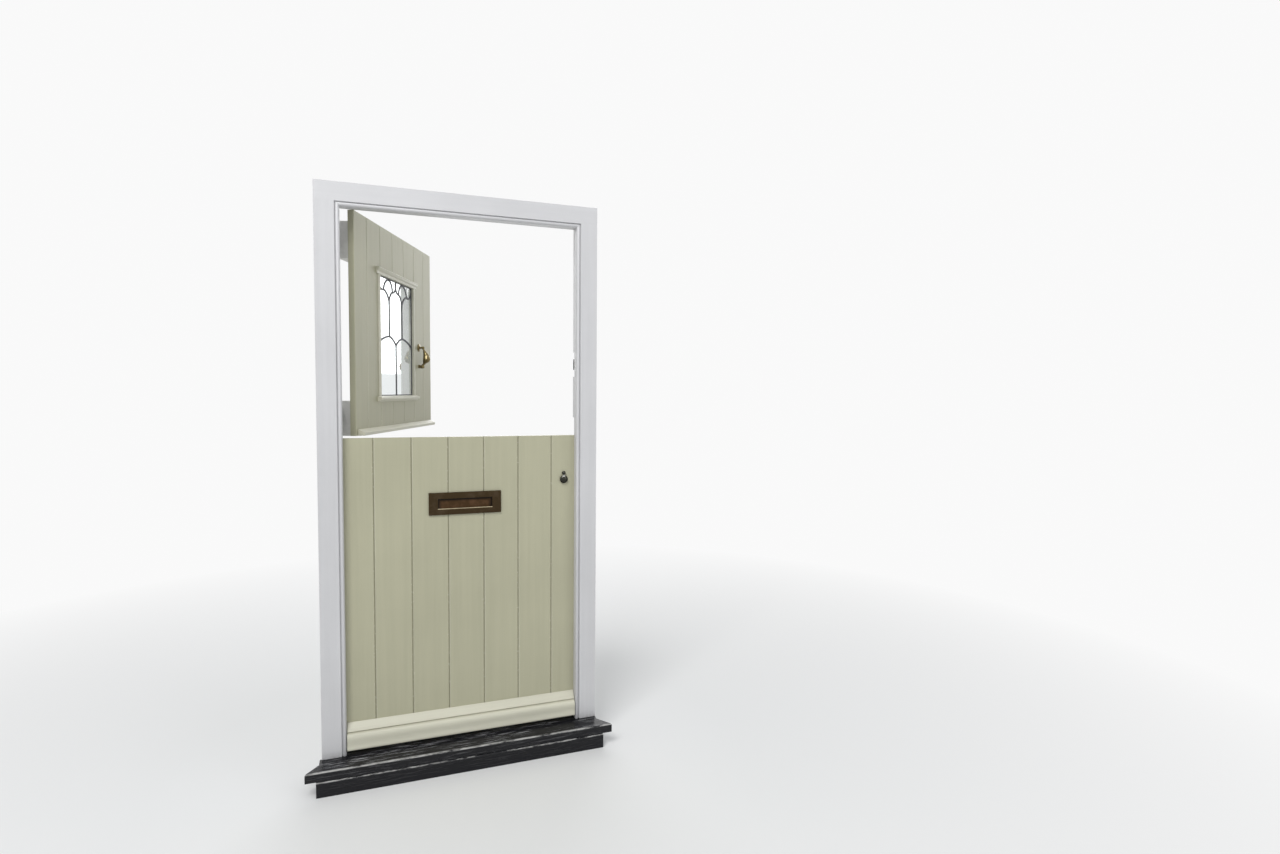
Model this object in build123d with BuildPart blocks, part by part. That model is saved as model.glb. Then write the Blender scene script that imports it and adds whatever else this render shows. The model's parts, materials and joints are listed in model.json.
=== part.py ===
"""Stable door in two leaves, in its frame: ledged and braced boards on hook-and-band hinges.

Millimetres. X runs along the front from the hinge jamb to the lock jamb, Y goes inwards and
Z up. The origin is under the middle of the sill plinth, in the plane of the frame's front.
The lower leaf is closed and the upper leaf stands open, as the door is used by day.
"""
from build123d import *
from math import cos, radians, sin
import os

os.makedirs("parts", exist_ok=True)

# Frame
daylight_width = 789
daylight_height = 1815
jamb_face = 76
frame_depth = 88
rebate = 15
bead_width = 12
quirk_width = 3
trim_thickness = 24
trim_set_back = 1.5

# Sill and the plinth under it
plinth_height = 50
plinth_half_width = 484
plinth_nose_step = 2
plinth_arris = 3
sill_thickness = 42
sill_projection = 64
sill_fall = 8.6
sill_horn = 46.5
sill_nose_radius = 6
nose_shadow_gap = 3
drip_groove = 5

# Leaves
leaf_gap = 3
stop_clearance = 0.5
foot_gap = 5
middle_gap = 4
lower_height = 1058
open_angle = 68.9

# Boards
board_thickness = 20
first_board_width = 105
last_board_width = 98
joint_count = 6
vee_depth = 3
tongue_length = 6.5
tongue_thickness = 5.5
tongue_clearance = 0.25
edge_arris = 1.5

# Ledges, brace and uprights on the inner side
ledge_thickness = 38
ledge_inset = 3
ledge_arris = 4
lower_top_ledge_drop = 4
lower_top_ledge_height = 188
lower_bottom_ledge_rise = 70
lower_bottom_ledge_height = 150
brace_width = 110
brace_inset = 24
upper_bottom_ledge_height = 120
upper_top_ledge_drop = 36
upper_top_ledge_height = 125
upright_width = 70
latch_block_width = 110
latch_block_height = 120

# Hook-and-band hinges
hinge_setback = 18
pin_radius = 6
bore_clearance = 0.05
eye_radius = 10
band_thickness = 5
band_length = 400
band_height = 38
band_tip_height = 22
hook_plate_width = 31
hook_plate_height = 110
hook_plate_gap = 2.5
shoulder_height = 14
shoulder_gap = 0.3
pin_head = 6
screw_radius = 4
screw_head_radius = 8
screw_head_height = 3
band_screw_shares = (0.1125, 0.45, 0.825)

# Weather board on the lower leaf
weather_clearance = 2
weather_top = 95.6
weather_bottom = 12
weather_quirk = 61
weather_quirk_half = 3
weather_quirk_depth = 5
weather_lip = 2
weather_shoulder = 24
weather_cove = 14
weather_proud = 31.5
weather_splay = 3

# Letter plate and its flap
letter_drop = 232.5
letter_width = 248
letter_height = 78
letter_thickness = 6
letter_chamfer = 1.5
letter_corner_radius = 5
aperture_width = 186
aperture_height = 34
flap_overlap = 2
flap_thickness = 2.5
flap_gap = 0.3
knuckle_gap = 0.75
flap_pin_radius = 1.5
knuckle_radius = 2.75
lug_thickness = 2
slot_margin = 1.5
letter_bolt_radius = 3
letter_nut_radius = 6
letter_nut_thickness = 4

# Keyhole escutcheon and its drop cover
keyhole_setback = 52
keyhole_drop = 162
cover_radius = 14
cover_pivot_rise = 23
cover_pivot_radius = 7
escutcheon_thickness = 2
cover_thickness = 2.5
cover_gap = 0.3
rivet_radius = 2
rivet_head_radius = 3.5
rivet_head_height = 1.2
key_radius = 4
key_slot_width = 5
key_slot_length = 14

# Rim lock and rim latch
case_thickness = 22
case_setback = 4
case_rounding = 2
lock_case_width = 120
lock_case_height = 70
lock_bolt_height = 26
lock_bolt_thickness = 12
lock_bolt_length = 50
latch_rise = 259
latch_case_width = 109
latch_case_height = 60
latch_bolt_height = 24
latch_bolt_thickness = 10
latch_bolt_length = 40
latch_projection = 17
latch_throw = 12
bolt_play = 0.3
knob_radius = 20
knob_rim = 6
knob_setback = 70
knob_neck_radius = 6
knob_neck_length = 12
knob_collar_radius = 12
knob_collar_thickness = 3
spindle_radius = 4
keep_width = 32
keep_wall = 3
keep_margin = 5
keep_cut_depth = 36
keep_cut_radius = 20
latch_cut_height = 92
lock_cut_below = 51
lock_cut_above = 63

# Joining bolt between the leaves
join_u = 560
join_rod_radius = 5
join_rod_bottom = 6
join_rod_top = 112
join_plate_thickness = 2.5
join_plate_width = 38
join_plate_radius = 3
join_staple_low = 22
join_staple_high = 84
join_rod_gap = 2
join_staple_height = 10
join_keep_height = 30
join_keep_clearance = 0.5
join_knob_rise = 60

# Light in the upper leaf
light_boards = 3
light_lap = 7
light_strip = 13
light_foot_margin = 15
light_head_margin = 17
glazing_leg = 8
glass_recess = 6
glass_thickness = 3
glass_play = 1
moulding_width = 16
moulding_proud = 5
moulding_round = 2
moulding_cove = 4
hood_overhang = 33
hood_height = 24
hood_proud = 14
hood_cap = 4
hood_cyma = 9
glazing_sill_overhang = 31
glazing_sill_height = 22
glazing_sill_proud = 18
glazing_sill_fall = 6
glazing_sill_edge = 7
glazing_sill_chamfer = 2
inner_bead_depth = 9
came_width = 7
came_height = 1.3
came_edge_gap = 0.3
came_stems = (0.31, 0.69)
came_fork = 0.2
came_apex = 0.49
came_spring = 0.56

# Knocker
knocker_offset = 72
knocker_v = 339
rose_radius = 17
rose_thickness = 5
knocker_reach = 19
knocker_pin_radius = 2.5
knocker_eye_radius = 6
knocker_eye_width = 6
cheek_width = 2.6
cheek_gap = 0.3
strike_drop = 80
strike_radius = 8
strike_thickness = 5
strike_gap = 2

# Drip moulding at the foot of the upper leaf
drip_start = 15
drip_height = 22
drip_proud = 24
drip_chamfer = 2
drip_groove_depth = 3
drip_splay = 2

# Places worked out from the sizes
sill_top = plinth_height + sill_thickness
jamb_in = daylight_width / 2
jamb_out = jamb_in + jamb_face
rebate_x = jamb_in + rebate
head_low = sill_top + daylight_height
head_joint = head_low + rebate
head_top = head_low + jamb_face
leaf_width = daylight_width + 2 * (rebate - leaf_gap)
leaf_thickness = board_thickness + ledge_thickness
stop_depth = frame_depth - leaf_thickness
leaf_face_y = stop_depth + stop_clearance
lower_bottom = sill_top + foot_gap
upper_bottom = lower_bottom + lower_height + middle_gap
upper_height = head_joint - leaf_gap - upper_bottom
pivot_x = -leaf_width / 2 - hinge_setback
pivot_y = leaf_face_y + leaf_thickness + eye_radius
bore_radius = pin_radius + bore_clearance
trim_in = rebate_x + trim_set_back
trim_back = frame_depth + trim_thickness
case_inner = leaf_thickness + case_thickness
bolt_depth = leaf_thickness + case_thickness / 2
case_edge = leaf_width - case_setback
lock_v = lower_height - keyhole_drop
lower_ledge_high = lower_height - lower_top_ledge_drop - lower_top_ledge_height
lower_ledge_low = lower_bottom_ledge_rise + lower_bottom_ledge_height
upper_ledge_high = upper_height - upper_top_ledge_drop - upper_top_ledge_height
lower_band_heights = (
    lower_bottom_ledge_rise + lower_bottom_ledge_height / 2,
    lower_ledge_high + lower_top_ledge_height / 2,
)
upper_band_heights = (upper_bottom_ledge_height / 2, upper_ledge_high + upper_top_ledge_height / 2)
band_screws = [share * band_length for share in band_screw_shares]
board_pitch = (leaf_width - first_board_width - last_board_width) / (joint_count - 1)
letter_centre_u = leaf_width / 2
light_left = first_board_width + board_pitch - light_lap
light_right = first_board_width + (1 + light_boards) * board_pitch - light_strip
light_width = light_right - light_left
light_bottom = upper_bottom_ledge_height + light_foot_margin
light_top = upper_ledge_high - light_head_margin
light_height = light_top - light_bottom
knocker_u = light_right + knocker_offset


class Leaf:
    """Planes of one leaf: u along it from the hinge edge, v up from its foot, d inwards."""

    def __init__(self, bottom, turn):
        self.along = Vector(cos(radians(turn)), sin(radians(turn)), 0)
        self.inward = Vector(-sin(radians(turn)), cos(radians(turn)), 0)
        pivot = Vector(pivot_x, pivot_y, bottom)
        self.corner = pivot + self.along * hinge_setback - self.inward * (leaf_thickness + eye_radius)

    def point(self, u, d, v):
        return self.corner + self.along * u + self.inward * d + Vector(0, 0, v)

    def plan(self, v):
        """Seen from above: x is u and y is d."""
        return Plane(origin=self.point(0, 0, v), x_dir=self.along, z_dir=(0, 0, 1))

    def section(self, u):
        """Across the leaf: x is d and y is v."""
        return Plane(origin=self.point(u, 0, 0), x_dir=self.inward, z_dir=self.along)

    def face(self, d):
        """Seen from outside: x is u and y is v, and a positive extrusion comes outwards."""
        return Plane(origin=self.point(0, d, 0), x_dir=self.along, z_dir=-self.inward)

    def depth_axis(self, u=0, v=0):
        return Axis(self.point(u, 0, v), self.inward)


lower = Leaf(lower_bottom, 0)
upper = Leaf(upper_bottom, open_angle)


def hand_in(piece, label):
    piece.part.label = label
    export_step(piece.part, f"parts/{label}.step")


# Frame pieces

def frame_section(place):
    """Section of a jamb or the head: place maps (distance from daylight, depth) to the plane."""
    bead = bead_width / 2
    Line(place(0, stop_depth), place(0, bead))
    ThreePointArc(place(0, bead), place(bead, 0), place(bead_width, bead))
    Polyline(
        place(bead_width, bead),
        place(bead_width + quirk_width, bead),
        place(bead_width + quirk_width, 0),
        place(jamb_face, 0),
        place(jamb_face, frame_depth),
        place(rebate, frame_depth),
        place(rebate, stop_depth),
        place(0, stop_depth),
    )


def jamb(side):
    """A jamb, mitred for the width of its rebate and square-topped under the head."""
    with BuildPart() as piece:
        with BuildSketch(Plane.XY.offset(sill_top)):
            with BuildLine():
                frame_section(lambda across, depth: (side * (jamb_in + across), depth))
            make_face()
        extrude(amount=daylight_height + rebate)
        with BuildSketch(Plane.XZ):
            with BuildLine():
                Polyline(
                    (side * jamb_in, sill_top),
                    (side * jamb_out, sill_top),
                    (side * jamb_out, head_joint),
                    (side * rebate_x, head_joint),
                    (side * jamb_in, head_low),
                    close=True,
                )
            make_face()
        extrude(amount=-frame_depth, mode=Mode.INTERSECT)
    return piece


def head():
    with BuildPart() as piece:
        with BuildSketch(Plane.YZ.offset(-jamb_out)):
            with BuildLine():
                frame_section(lambda across, depth: (depth, head_low + across))
            make_face()
        extrude(amount=2 * jamb_out)
        with BuildSketch(Plane.XZ):
            with BuildLine():
                Polyline(
                    (-jamb_in, head_low),
                    (jamb_in, head_low),
                    (rebate_x, head_joint),
                    (jamb_out, head_joint),
                    (jamb_out, head_top),
                    (-jamb_out, head_top),
                    (-jamb_out, head_joint),
                    (-rebate_x, head_joint),
                    close=True,
                )
            make_face()
        extrude(amount=-frame_depth, mode=Mode.INTERSECT)
    return piece


def sill():
    """Weathered sill with a rounded nose and horns cut back to the jambs at 45 degrees."""
    nose_y = -sill_projection
    with BuildPart() as piece:
        with BuildSketch(Plane.YZ.offset(-jamb_out - sill_horn)) as profile:
            with BuildLine():
                Polyline(
                    (nose_y, plinth_height + nose_shadow_gap),
                    (nose_y, sill_top - sill_fall),
                    (0, sill_top),
                    (frame_depth, sill_top),
                    (frame_depth, plinth_height),
                    (nose_y / 2, plinth_height),
                    (nose_y / 2, plinth_height + nose_shadow_gap),
                    close=True,
                )
            make_face()
            nose = profile.vertices().group_by(Axis.X)[0]
            fillet(nose.sort_by(Axis.Y)[-1], radius=sill_nose_radius)
            with Locations((nose_y + 3 * drip_groove, plinth_height + nose_shadow_gap)):
                Circle(drip_groove / 2, mode=Mode.SUBTRACT)
        extrude(amount=2 * (jamb_out + sill_horn))
        with BuildSketch(Plane.XY):
            with BuildLine():
                Polyline(
                    (-jamb_out - sill_horn, nose_y),
                    (jamb_out + sill_horn, nose_y),
                    (jamb_out, nose_y + sill_horn),
                    (jamb_out, frame_depth),
                    (-jamb_out, frame_depth),
                    (-jamb_out, nose_y + sill_horn),
                    close=True,
                )
            make_face()
        extrude(amount=sill_top, mode=Mode.INTERSECT)
    return piece


def plinth():
    front = -sill_projection - plinth_nose_step
    with BuildPart() as piece:
        with BuildSketch(Plane.YZ.offset(-plinth_half_width)):
            with BuildLine():
                Polyline(
                    (front, 0),
                    (front, plinth_height - plinth_arris),
                    (front + plinth_arris, plinth_height),
                    (frame_depth, plinth_height),
                    (frame_depth, 0),
                    close=True,
                )
            make_face()
        extrude(amount=2 * plinth_half_width)
    return piece


def side_trim():
    """Inner lining on the lock jamb, cut back round the two keeps."""
    lock_cut_low = lock_z - lock_cut_below
    lock_cut_high = lower_bottom + lower_height + lock_cut_above
    cuts = (
        (latch_z, latch_cut_height),
        ((lock_cut_low + lock_cut_high) / 2, lock_cut_high - lock_cut_low),
    )
    with BuildPart() as piece:
        with BuildSketch(Plane.XZ.offset(-trim_back)):
            with BuildLine():
                Polyline(
                    (trim_in, sill_top),
                    (jamb_out, sill_top),
                    (jamb_out, head_joint + trim_set_back),
                    (trim_in, head_joint + trim_set_back),
                    close=True,
                )
            make_face()
            for centre, height in cuts:
                with Locations((trim_in, centre)):
                    RectangleRounded(2 * keep_cut_depth, height, keep_cut_radius, mode=Mode.SUBTRACT)
        extrude(amount=trim_thickness)
    return piece


def head_trim():
    with BuildPart() as piece:
        with BuildSketch(Plane.XZ.offset(-trim_back)):
            with BuildLine():
                Polyline(
                    (-jamb_out, head_joint + trim_set_back),
                    (jamb_out, head_joint + trim_set_back),
                    (jamb_out, head_top),
                    (-jamb_out, head_top),
                    close=True,
                )
            make_face()
        extrude(amount=trim_thickness)
    return piece


def hooks():
    """Four hooks: a plate on the jamb, a shoulder that carries the band and a pin through its eye."""
    plate_right = pivot_x - eye_radius - hook_plate_gap
    plate_centre = plate_right - hook_plate_width / 2
    heights = [lower_bottom + v for v in lower_band_heights]
    heights += [upper_bottom + v for v in upper_band_heights]
    with BuildPart() as piece:
        for middle in heights:
            shoulder_top = middle - band_height / 2 - shoulder_gap
            with BuildSketch(Plane.XZ.offset(-frame_depth - band_thickness)):
                with Locations((plate_centre, middle)):
                    RectangleRounded(hook_plate_width, hook_plate_height, hook_plate_width / 4)
            extrude(amount=band_thickness)
            with BuildSketch(Plane.XY.offset(shoulder_top - shoulder_height)):
                with BuildLine():
                    Polyline(
                        (plate_right - 1, frame_depth),
                        (pivot_x, frame_depth),
                        (pivot_x, pivot_y),
                        (plate_right - 1, frame_depth + band_thickness),
                        close=True,
                    )
                make_face()
                with Locations((pivot_x, pivot_y)):
                    Circle(eye_radius)
            extrude(amount=shoulder_height)
            with BuildSketch(Plane.XY.offset(shoulder_top)):
                with Locations((pivot_x, pivot_y)):
                    Circle(pin_radius)
            extrude(amount=shoulder_gap + band_height + pin_head)
    return piece


def keep(centre_z, bolt_height, bolt_thickness):
    """Box keep on the lock jamb's inner face, open towards the bolt."""
    height = bolt_height + 2 * keep_margin + 2 * keep_wall
    with BuildPart() as piece:
        with BuildSketch(Plane.XZ.offset(-frame_depth)):
            with Locations((trim_in + keep_width / 2, centre_z)):
                Rectangle(keep_width, height)
        extrude(amount=-stop_clearance - case_thickness)
        fillet(piece.faces().sort_by(Axis.Y)[-1].edges(), radius=keep_wall / 2)
        with BuildSketch(Plane.YZ.offset(trim_in)):
            with Locations((leaf_face_y + bolt_depth, centre_z)):
                Rectangle(bolt_thickness + keep_wall, bolt_height + keep_margin)
        extrude(amount=keep_width - 2 * keep_wall, mode=Mode.SUBTRACT)
    return piece


latch_z = upper_bottom + latch_rise
lock_z = lower_bottom + lock_v

hand_in(jamb(-1), "hinge_jamb")
hand_in(jamb(1), "lock_jamb")
hand_in(head(), "frame_head")
hand_in(sill(), "sill")
hand_in(plinth(), "sill_plinth")
hand_in(side_trim(), "lock_side_trim")
hand_in(head_trim(), "head_trim")
hand_in(hooks(), "hinge_hooks")
hand_in(keep(latch_z, latch_bolt_height, latch_bolt_thickness), "latch_keep")
hand_in(keep(lock_z, lock_bolt_height, lock_bolt_thickness), "lock_keep")


# Boards

def board_edges(index):
    """Where board number index starts and ends along the leaf."""
    left = 0 if index == 0 else first_board_width + (index - 1) * board_pitch
    right = leaf_width if index == joint_count else first_board_width + index * board_pitch
    return left, right


def board_outline(index):
    """Plan of one board: a groove on its hinge side, a tongue on its lock side, chamfered for the vee."""
    left, right = board_edges(index)
    middle = (vee_depth + board_thickness) / 2
    half_tongue = tongue_thickness / 2
    half_groove = half_tongue + tongue_clearance
    groove_length = tongue_length + 2 * tongue_clearance
    first = index == 0
    last = index == joint_count
    left_arris = edge_arris if first else vee_depth
    right_arris = edge_arris if last else vee_depth
    points = [(left + left_arris, 0), (right - right_arris, 0), (right, right_arris)]
    if not last:
        points.append((right, middle - half_tongue))
        points.append((right + tongue_length, middle - half_tongue))
        points.append((right + tongue_length, middle + half_tongue))
        points.append((right, middle + half_tongue))
    points += [(right, board_thickness), (left, board_thickness)]
    if not first:
        points.append((left, middle + half_groove))
        points.append((left + groove_length, middle + half_groove))
        points.append((left + groove_length, middle - half_groove))
        points.append((left, middle - half_groove))
    points.append((left, left_arris))
    return points


def board(leaf, index, height, cut=None):
    """One board of a leaf. cut draws what is sawn out of the boards, in face coordinates."""
    with BuildPart() as piece:
        with BuildSketch(leaf.plan(0)):
            with BuildLine():
                Polyline(*board_outline(index), close=True)
            make_face()
        extrude(amount=height)
        if cut:
            with BuildSketch(leaf.face(board_thickness)):
                cut()
            extrude(amount=board_thickness, mode=Mode.SUBTRACT)
    return piece


def spans(index, low, high):
    """True where the stretch from low to high cuts into the board or its tongue."""
    left, right = board_edges(index)
    return left < high and right + tongue_length > low


letter_v = lower_height - letter_drop
flap_half = aperture_width / 2 + flap_overlap
flap_low = -aperture_height / 2 - flap_overlap
flap_axis_v = letter_v + aperture_height / 2 + flap_overlap + flap_pin_radius
flap_axis_d = knuckle_gap + knuckle_radius
slot_half = flap_half + lug_thickness + slot_margin
slot_low = letter_v + flap_low - slot_margin
slot_high = flap_axis_v + knuckle_radius + slot_margin
keyhole_u = leaf_width - keyhole_setback


def letter_slot():
    with Locations((letter_centre_u, (slot_low + slot_high) / 2)):
        Rectangle(2 * slot_half, slot_high - slot_low)


def letter_bolt_places():
    reach = (letter_width + aperture_width) / 4
    return [(letter_centre_u - reach, letter_v), (letter_centre_u + reach, letter_v)]


def letter_bolt_holes():
    with Locations(*letter_bolt_places()):
        Circle(letter_bolt_radius)


def letter_cuts():
    letter_slot()
    letter_bolt_holes()


def keyhole():
    with Locations((keyhole_u, lock_v)):
        Circle(key_radius)
    with Locations((keyhole_u, lock_v - key_slot_length / 2)):
        Rectangle(key_slot_width, key_slot_length)


def lower_cut(index):
    reach = (letter_width + aperture_width) / 4 + letter_bolt_radius
    if spans(index, letter_centre_u - reach, letter_centre_u + reach):
        return letter_cuts
    if spans(index, keyhole_u - key_radius, keyhole_u + key_radius):
        return keyhole
    return None


def light_opening():
    with Locations(((light_left + light_right) / 2, (light_bottom + light_top) / 2)):
        Rectangle(light_width + 2 * glazing_leg, light_height + 2 * glazing_leg)


def upper_cut(index):
    if spans(index, light_left - glazing_leg, light_right + glazing_leg):
        return light_opening
    return None


for index in range(joint_count + 1):
    hand_in(board(lower, index, lower_height, lower_cut(index)), f"lower_board_{index + 1}")
for index in range(joint_count + 1):
    hand_in(board(upper, index, upper_height, upper_cut(index)), f"upper_board_{index + 1}")


# Ledges, brace and uprights

def ledge(leaf, bottom, height, left=ledge_inset, right=leaf_width - ledge_inset, cut=None):
    """A ledge or block on the back of the boards, with its inner arrises taken off."""
    with BuildPart() as piece:
        with BuildSketch(leaf.face(leaf_thickness)):
            with Locations(((left + right) / 2, bottom + height / 2)):
                Rectangle(right - left, height)
        extrude(amount=ledge_thickness)
        chamfer(piece.faces().sort_by(leaf.depth_axis())[-1].edges(), length=ledge_arris)
        if cut:
            with BuildSketch(leaf.face(leaf_thickness)):
                cut()
            extrude(amount=ledge_thickness, mode=Mode.SUBTRACT)
    return piece


def brace():
    """Diagonal from the bottom ledge at the hinge side up to the top ledge at the lock side."""
    foot = ledge_inset + brace_inset
    tip = leaf_width - ledge_inset - brace_inset
    with BuildPart() as piece:
        with BuildSketch(lower.face(leaf_thickness)):
            with BuildLine():
                Polyline(
                    (foot, lower_ledge_low),
                    (foot + brace_width, lower_ledge_low),
                    (tip, lower_ledge_high),
                    (tip - brace_width, lower_ledge_high),
                    close=True,
                )
            make_face()
        extrude(amount=ledge_thickness)
        chamfer(piece.faces().sort_by(lower.depth_axis())[-1].edges(), length=ledge_arris)
    return piece


def uprights():
    """The two uprights beside the light, from ledge to ledge."""
    height = upper_ledge_high - upper_bottom_ledge_height
    opening_left = light_left - glazing_leg
    opening_right = light_right + glazing_leg
    with BuildPart() as piece:
        with BuildSketch(upper.face(leaf_thickness)):
            with Locations(
                (opening_left - upright_width / 2, upper_bottom_ledge_height + height / 2),
                (opening_right + upright_width / 2, upper_bottom_ledge_height + height / 2),
            ):
                Rectangle(upright_width, height)
        extrude(amount=ledge_thickness)
        inner = piece.faces().group_by(upper.depth_axis())[-1]
        chamfer(inner.edges(), length=ledge_arris)
    return piece


hand_in(ledge(lower, lower_ledge_high, lower_top_ledge_height, cut=keyhole), "lower_top_ledge")
hand_in(ledge(lower, lower_bottom_ledge_rise, lower_bottom_ledge_height), "lower_bottom_ledge")
hand_in(brace(), "lower_brace")
hand_in(ledge(upper, upper_ledge_high, upper_top_ledge_height), "upper_top_ledge")
hand_in(ledge(upper, 0, upper_bottom_ledge_height), "upper_bottom_ledge")
hand_in(uprights(), "upper_uprights")
latch_block_right = leaf_width - ledge_inset
hand_in(
    ledge(
        upper,
        latch_rise - latch_block_height / 2,
        latch_block_height,
        latch_block_right - latch_block_width,
        latch_block_right,
    ),
    "latch_block",
)


# Mouldings that shed water

def weather_board():
    """Weathered moulding across the foot of the lower leaf, its lock end splayed to swing clear."""
    start = -jamb_in + weather_clearance + leaf_width / 2
    length = daylight_width - 2 * weather_clearance
    over = weather_quirk + weather_quirk_half
    under = weather_quirk - weather_quirk_half
    lip = (-weather_shoulder - weather_lip, under)
    swell = (-weather_proud, under - weather_cove)
    with BuildPart() as piece:
        with BuildSketch(lower.section(start)):
            with BuildLine():
                Polyline(
                    (0, weather_bottom),
                    (0, weather_top),
                    (-weather_lip, weather_top),
                    (-weather_shoulder, over),
                    (-weather_shoulder + weather_quirk_depth, weather_quirk),
                    (-weather_shoulder + weather_quirk_depth, under),
                    lip,
                )
                TangentArc(lip, swell, tangent=(-1, -0.15))
                Polyline(
                    swell,
                    (-weather_proud, weather_bottom + weather_quirk_half),
                    (-weather_proud + weather_quirk_half, weather_bottom),
                    (0, weather_bottom),
                )
            make_face()
            with Locations((-weather_proud + 2 * drip_groove, weather_bottom)):
                Circle(drip_groove / 2, mode=Mode.SUBTRACT)
        extrude(amount=length)
        with BuildSketch(lower.plan(0)):
            with BuildLine():
                Polyline(
                    (start, 0),
                    (start + length, 0),
                    (start + length - weather_splay, -weather_proud),
                    (start, -weather_proud),
                    close=True,
                )
            make_face()
        extrude(amount=weather_top, mode=Mode.INTERSECT)
    return piece


def drip_moulding():
    """Sloped drip along the foot of the upper leaf, throwing water past the joint."""
    end = leaf_width - drip_start
    groove_near = -drip_proud + 2 * drip_groove
    with BuildPart() as piece:
        with BuildSketch(upper.section(drip_start)):
            with BuildLine():
                Polyline(
                    (0, 0),
                    (0, drip_height),
                    (-drip_groove_depth, drip_height),
                    (-drip_proud, drip_height / 2),
                    (-drip_proud, drip_chamfer),
                    (-drip_proud + drip_chamfer, 0),
                    (groove_near - drip_groove / 2, 0),
                    (groove_near, drip_groove_depth),
                    (groove_near + drip_groove / 2, 0),
                    close=True,
                )
            make_face()
        extrude(amount=end - drip_start)
        with BuildSketch(upper.plan(0)):
            with BuildLine():
                Polyline(
                    (drip_start, 0),
                    (end, 0),
                    (end - drip_splay, -drip_proud),
                    (drip_start, -drip_proud),
                    close=True,
                )
            make_face()
        extrude(amount=drip_height, mode=Mode.INTERSECT)
    return piece


hand_in(weather_board(), "weather_board")
hand_in(drip_moulding(), "drip_moulding")


# Letter plate

def letter_plate():
    """Plate with a moulded lip, and two lugs behind it that carry the flap's pin."""
    with BuildPart() as piece:
        with BuildSketch(lower.face(0)):
            with Locations((letter_centre_u, letter_v)):
                RectangleRounded(letter_width, letter_height, letter_corner_radius)
        extrude(amount=letter_thickness)
        front = piece.faces().sort_by(lower.depth_axis())[0]
        chamfer(front.edges(), length=letter_chamfer)
        with BuildSketch(lower.face(0)):
            with Locations((letter_centre_u, letter_v)):
                Rectangle(aperture_width, aperture_height)
        extrude(amount=letter_thickness, mode=Mode.SUBTRACT)
        for side in (-1, 1):
            lug_u = letter_centre_u + side * (flap_half + flap_gap + lug_thickness / 2)
            with BuildSketch(lower.section(lug_u - lug_thickness / 2)):
                with Locations((flap_axis_d / 2, flap_axis_v)):
                    Rectangle(flap_axis_d, 2 * knuckle_radius)
                with Locations((flap_axis_d, flap_axis_v)):
                    Circle(knuckle_radius)
                    Circle(flap_pin_radius + bore_clearance, mode=Mode.SUBTRACT)
            extrude(amount=lug_thickness)
    return piece


def letter_flap():
    """Flap with its knuckle along the top, and a pin end in each lug."""
    plate_width = 2 * flap_half
    with BuildPart() as piece:
        with BuildSketch(lower.face(flap_gap + flap_thickness)):
            with Locations((letter_centre_u, (letter_v + flap_low + flap_axis_v) / 2)):
                Rectangle(plate_width, flap_axis_v - letter_v - flap_low)
        extrude(amount=flap_thickness)
        with BuildSketch(lower.section(letter_centre_u - flap_half)):
            with Locations((flap_axis_d, flap_axis_v)):
                Circle(knuckle_radius)
        extrude(amount=plate_width)
        pin_length = plate_width + 2 * (flap_gap + lug_thickness)
        with BuildSketch(lower.section(letter_centre_u - pin_length / 2)):
            with Locations((flap_axis_d, flap_axis_v)):
                Circle(flap_pin_radius)
        extrude(amount=pin_length)
    return piece


def letter_bolts():
    """Studs from the back of the plate through the boards, with nuts on the inner side."""
    nut_face = board_thickness + letter_nut_thickness
    stud_radius = letter_bolt_radius - 2 * bore_clearance
    with BuildPart() as piece:
        for u, v in letter_bolt_places():
            with BuildSketch(lower.section(u)):
                with BuildLine():
                    Polyline(
                        (0, v),
                        (nut_face, v),
                        (nut_face, v + letter_nut_radius),
                        (board_thickness, v + letter_nut_radius),
                        (board_thickness, v + stud_radius),
                        (0, v + stud_radius),
                        close=True,
                    )
                make_face()
            revolve(axis=lower.depth_axis(u, v))
    return piece


hand_in(letter_plate(), "letter_plate")
hand_in(letter_flap(), "letter_flap")
hand_in(letter_bolts(), "letter_plate_bolts")


# Keyhole escutcheon

pivot_v = lock_v + cover_pivot_rise


def drop_outline(grow=0.0):
    """A disc at the keyhole, drawn in to a small round at the pivot above it."""
    with Locations((keyhole_u, lock_v)):
        Circle(cover_radius + grow)
    with Locations((keyhole_u, pivot_v)):
        Circle(cover_pivot_radius + grow)
    with Locations((keyhole_u, (lock_v + pivot_v) / 2)):
        Rectangle(cover_pivot_radius + grow, cover_pivot_rise)


def escutcheon():
    rivet_reach = escutcheon_thickness + cover_gap + cover_thickness + cover_gap
    with BuildPart() as piece:
        with BuildSketch(lower.face(0)):
            drop_outline(-1)
        extrude(amount=escutcheon_thickness)
        with BuildSketch(lower.face(0)):
            keyhole()
        extrude(amount=escutcheon_thickness, mode=Mode.SUBTRACT)
        with BuildSketch(lower.face(0)):
            with Locations((keyhole_u, pivot_v)):
                Circle(rivet_radius)
        extrude(amount=rivet_reach)
        with BuildSketch(lower.face(-rivet_reach)):
            with Locations((keyhole_u, pivot_v)):
                Circle(rivet_head_radius)
        extrude(amount=rivet_head_height)
    return piece


def keyhole_cover():
    with BuildPart() as piece:
        with BuildSketch(lower.face(-escutcheon_thickness - cover_gap)):
            drop_outline()
            with Locations((keyhole_u, pivot_v)):
                Circle(rivet_radius + bore_clearance, mode=Mode.SUBTRACT)
        extrude(amount=cover_thickness)
        front = piece.faces().sort_by(lower.depth_axis())[0]
        chamfer(front.outer_wire().edges(), length=cover_thickness / 3)
    return piece


hand_in(escutcheon(), "escutcheon")
hand_in(keyhole_cover(), "keyhole_cover")


# Rim lock and rim latch

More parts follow.
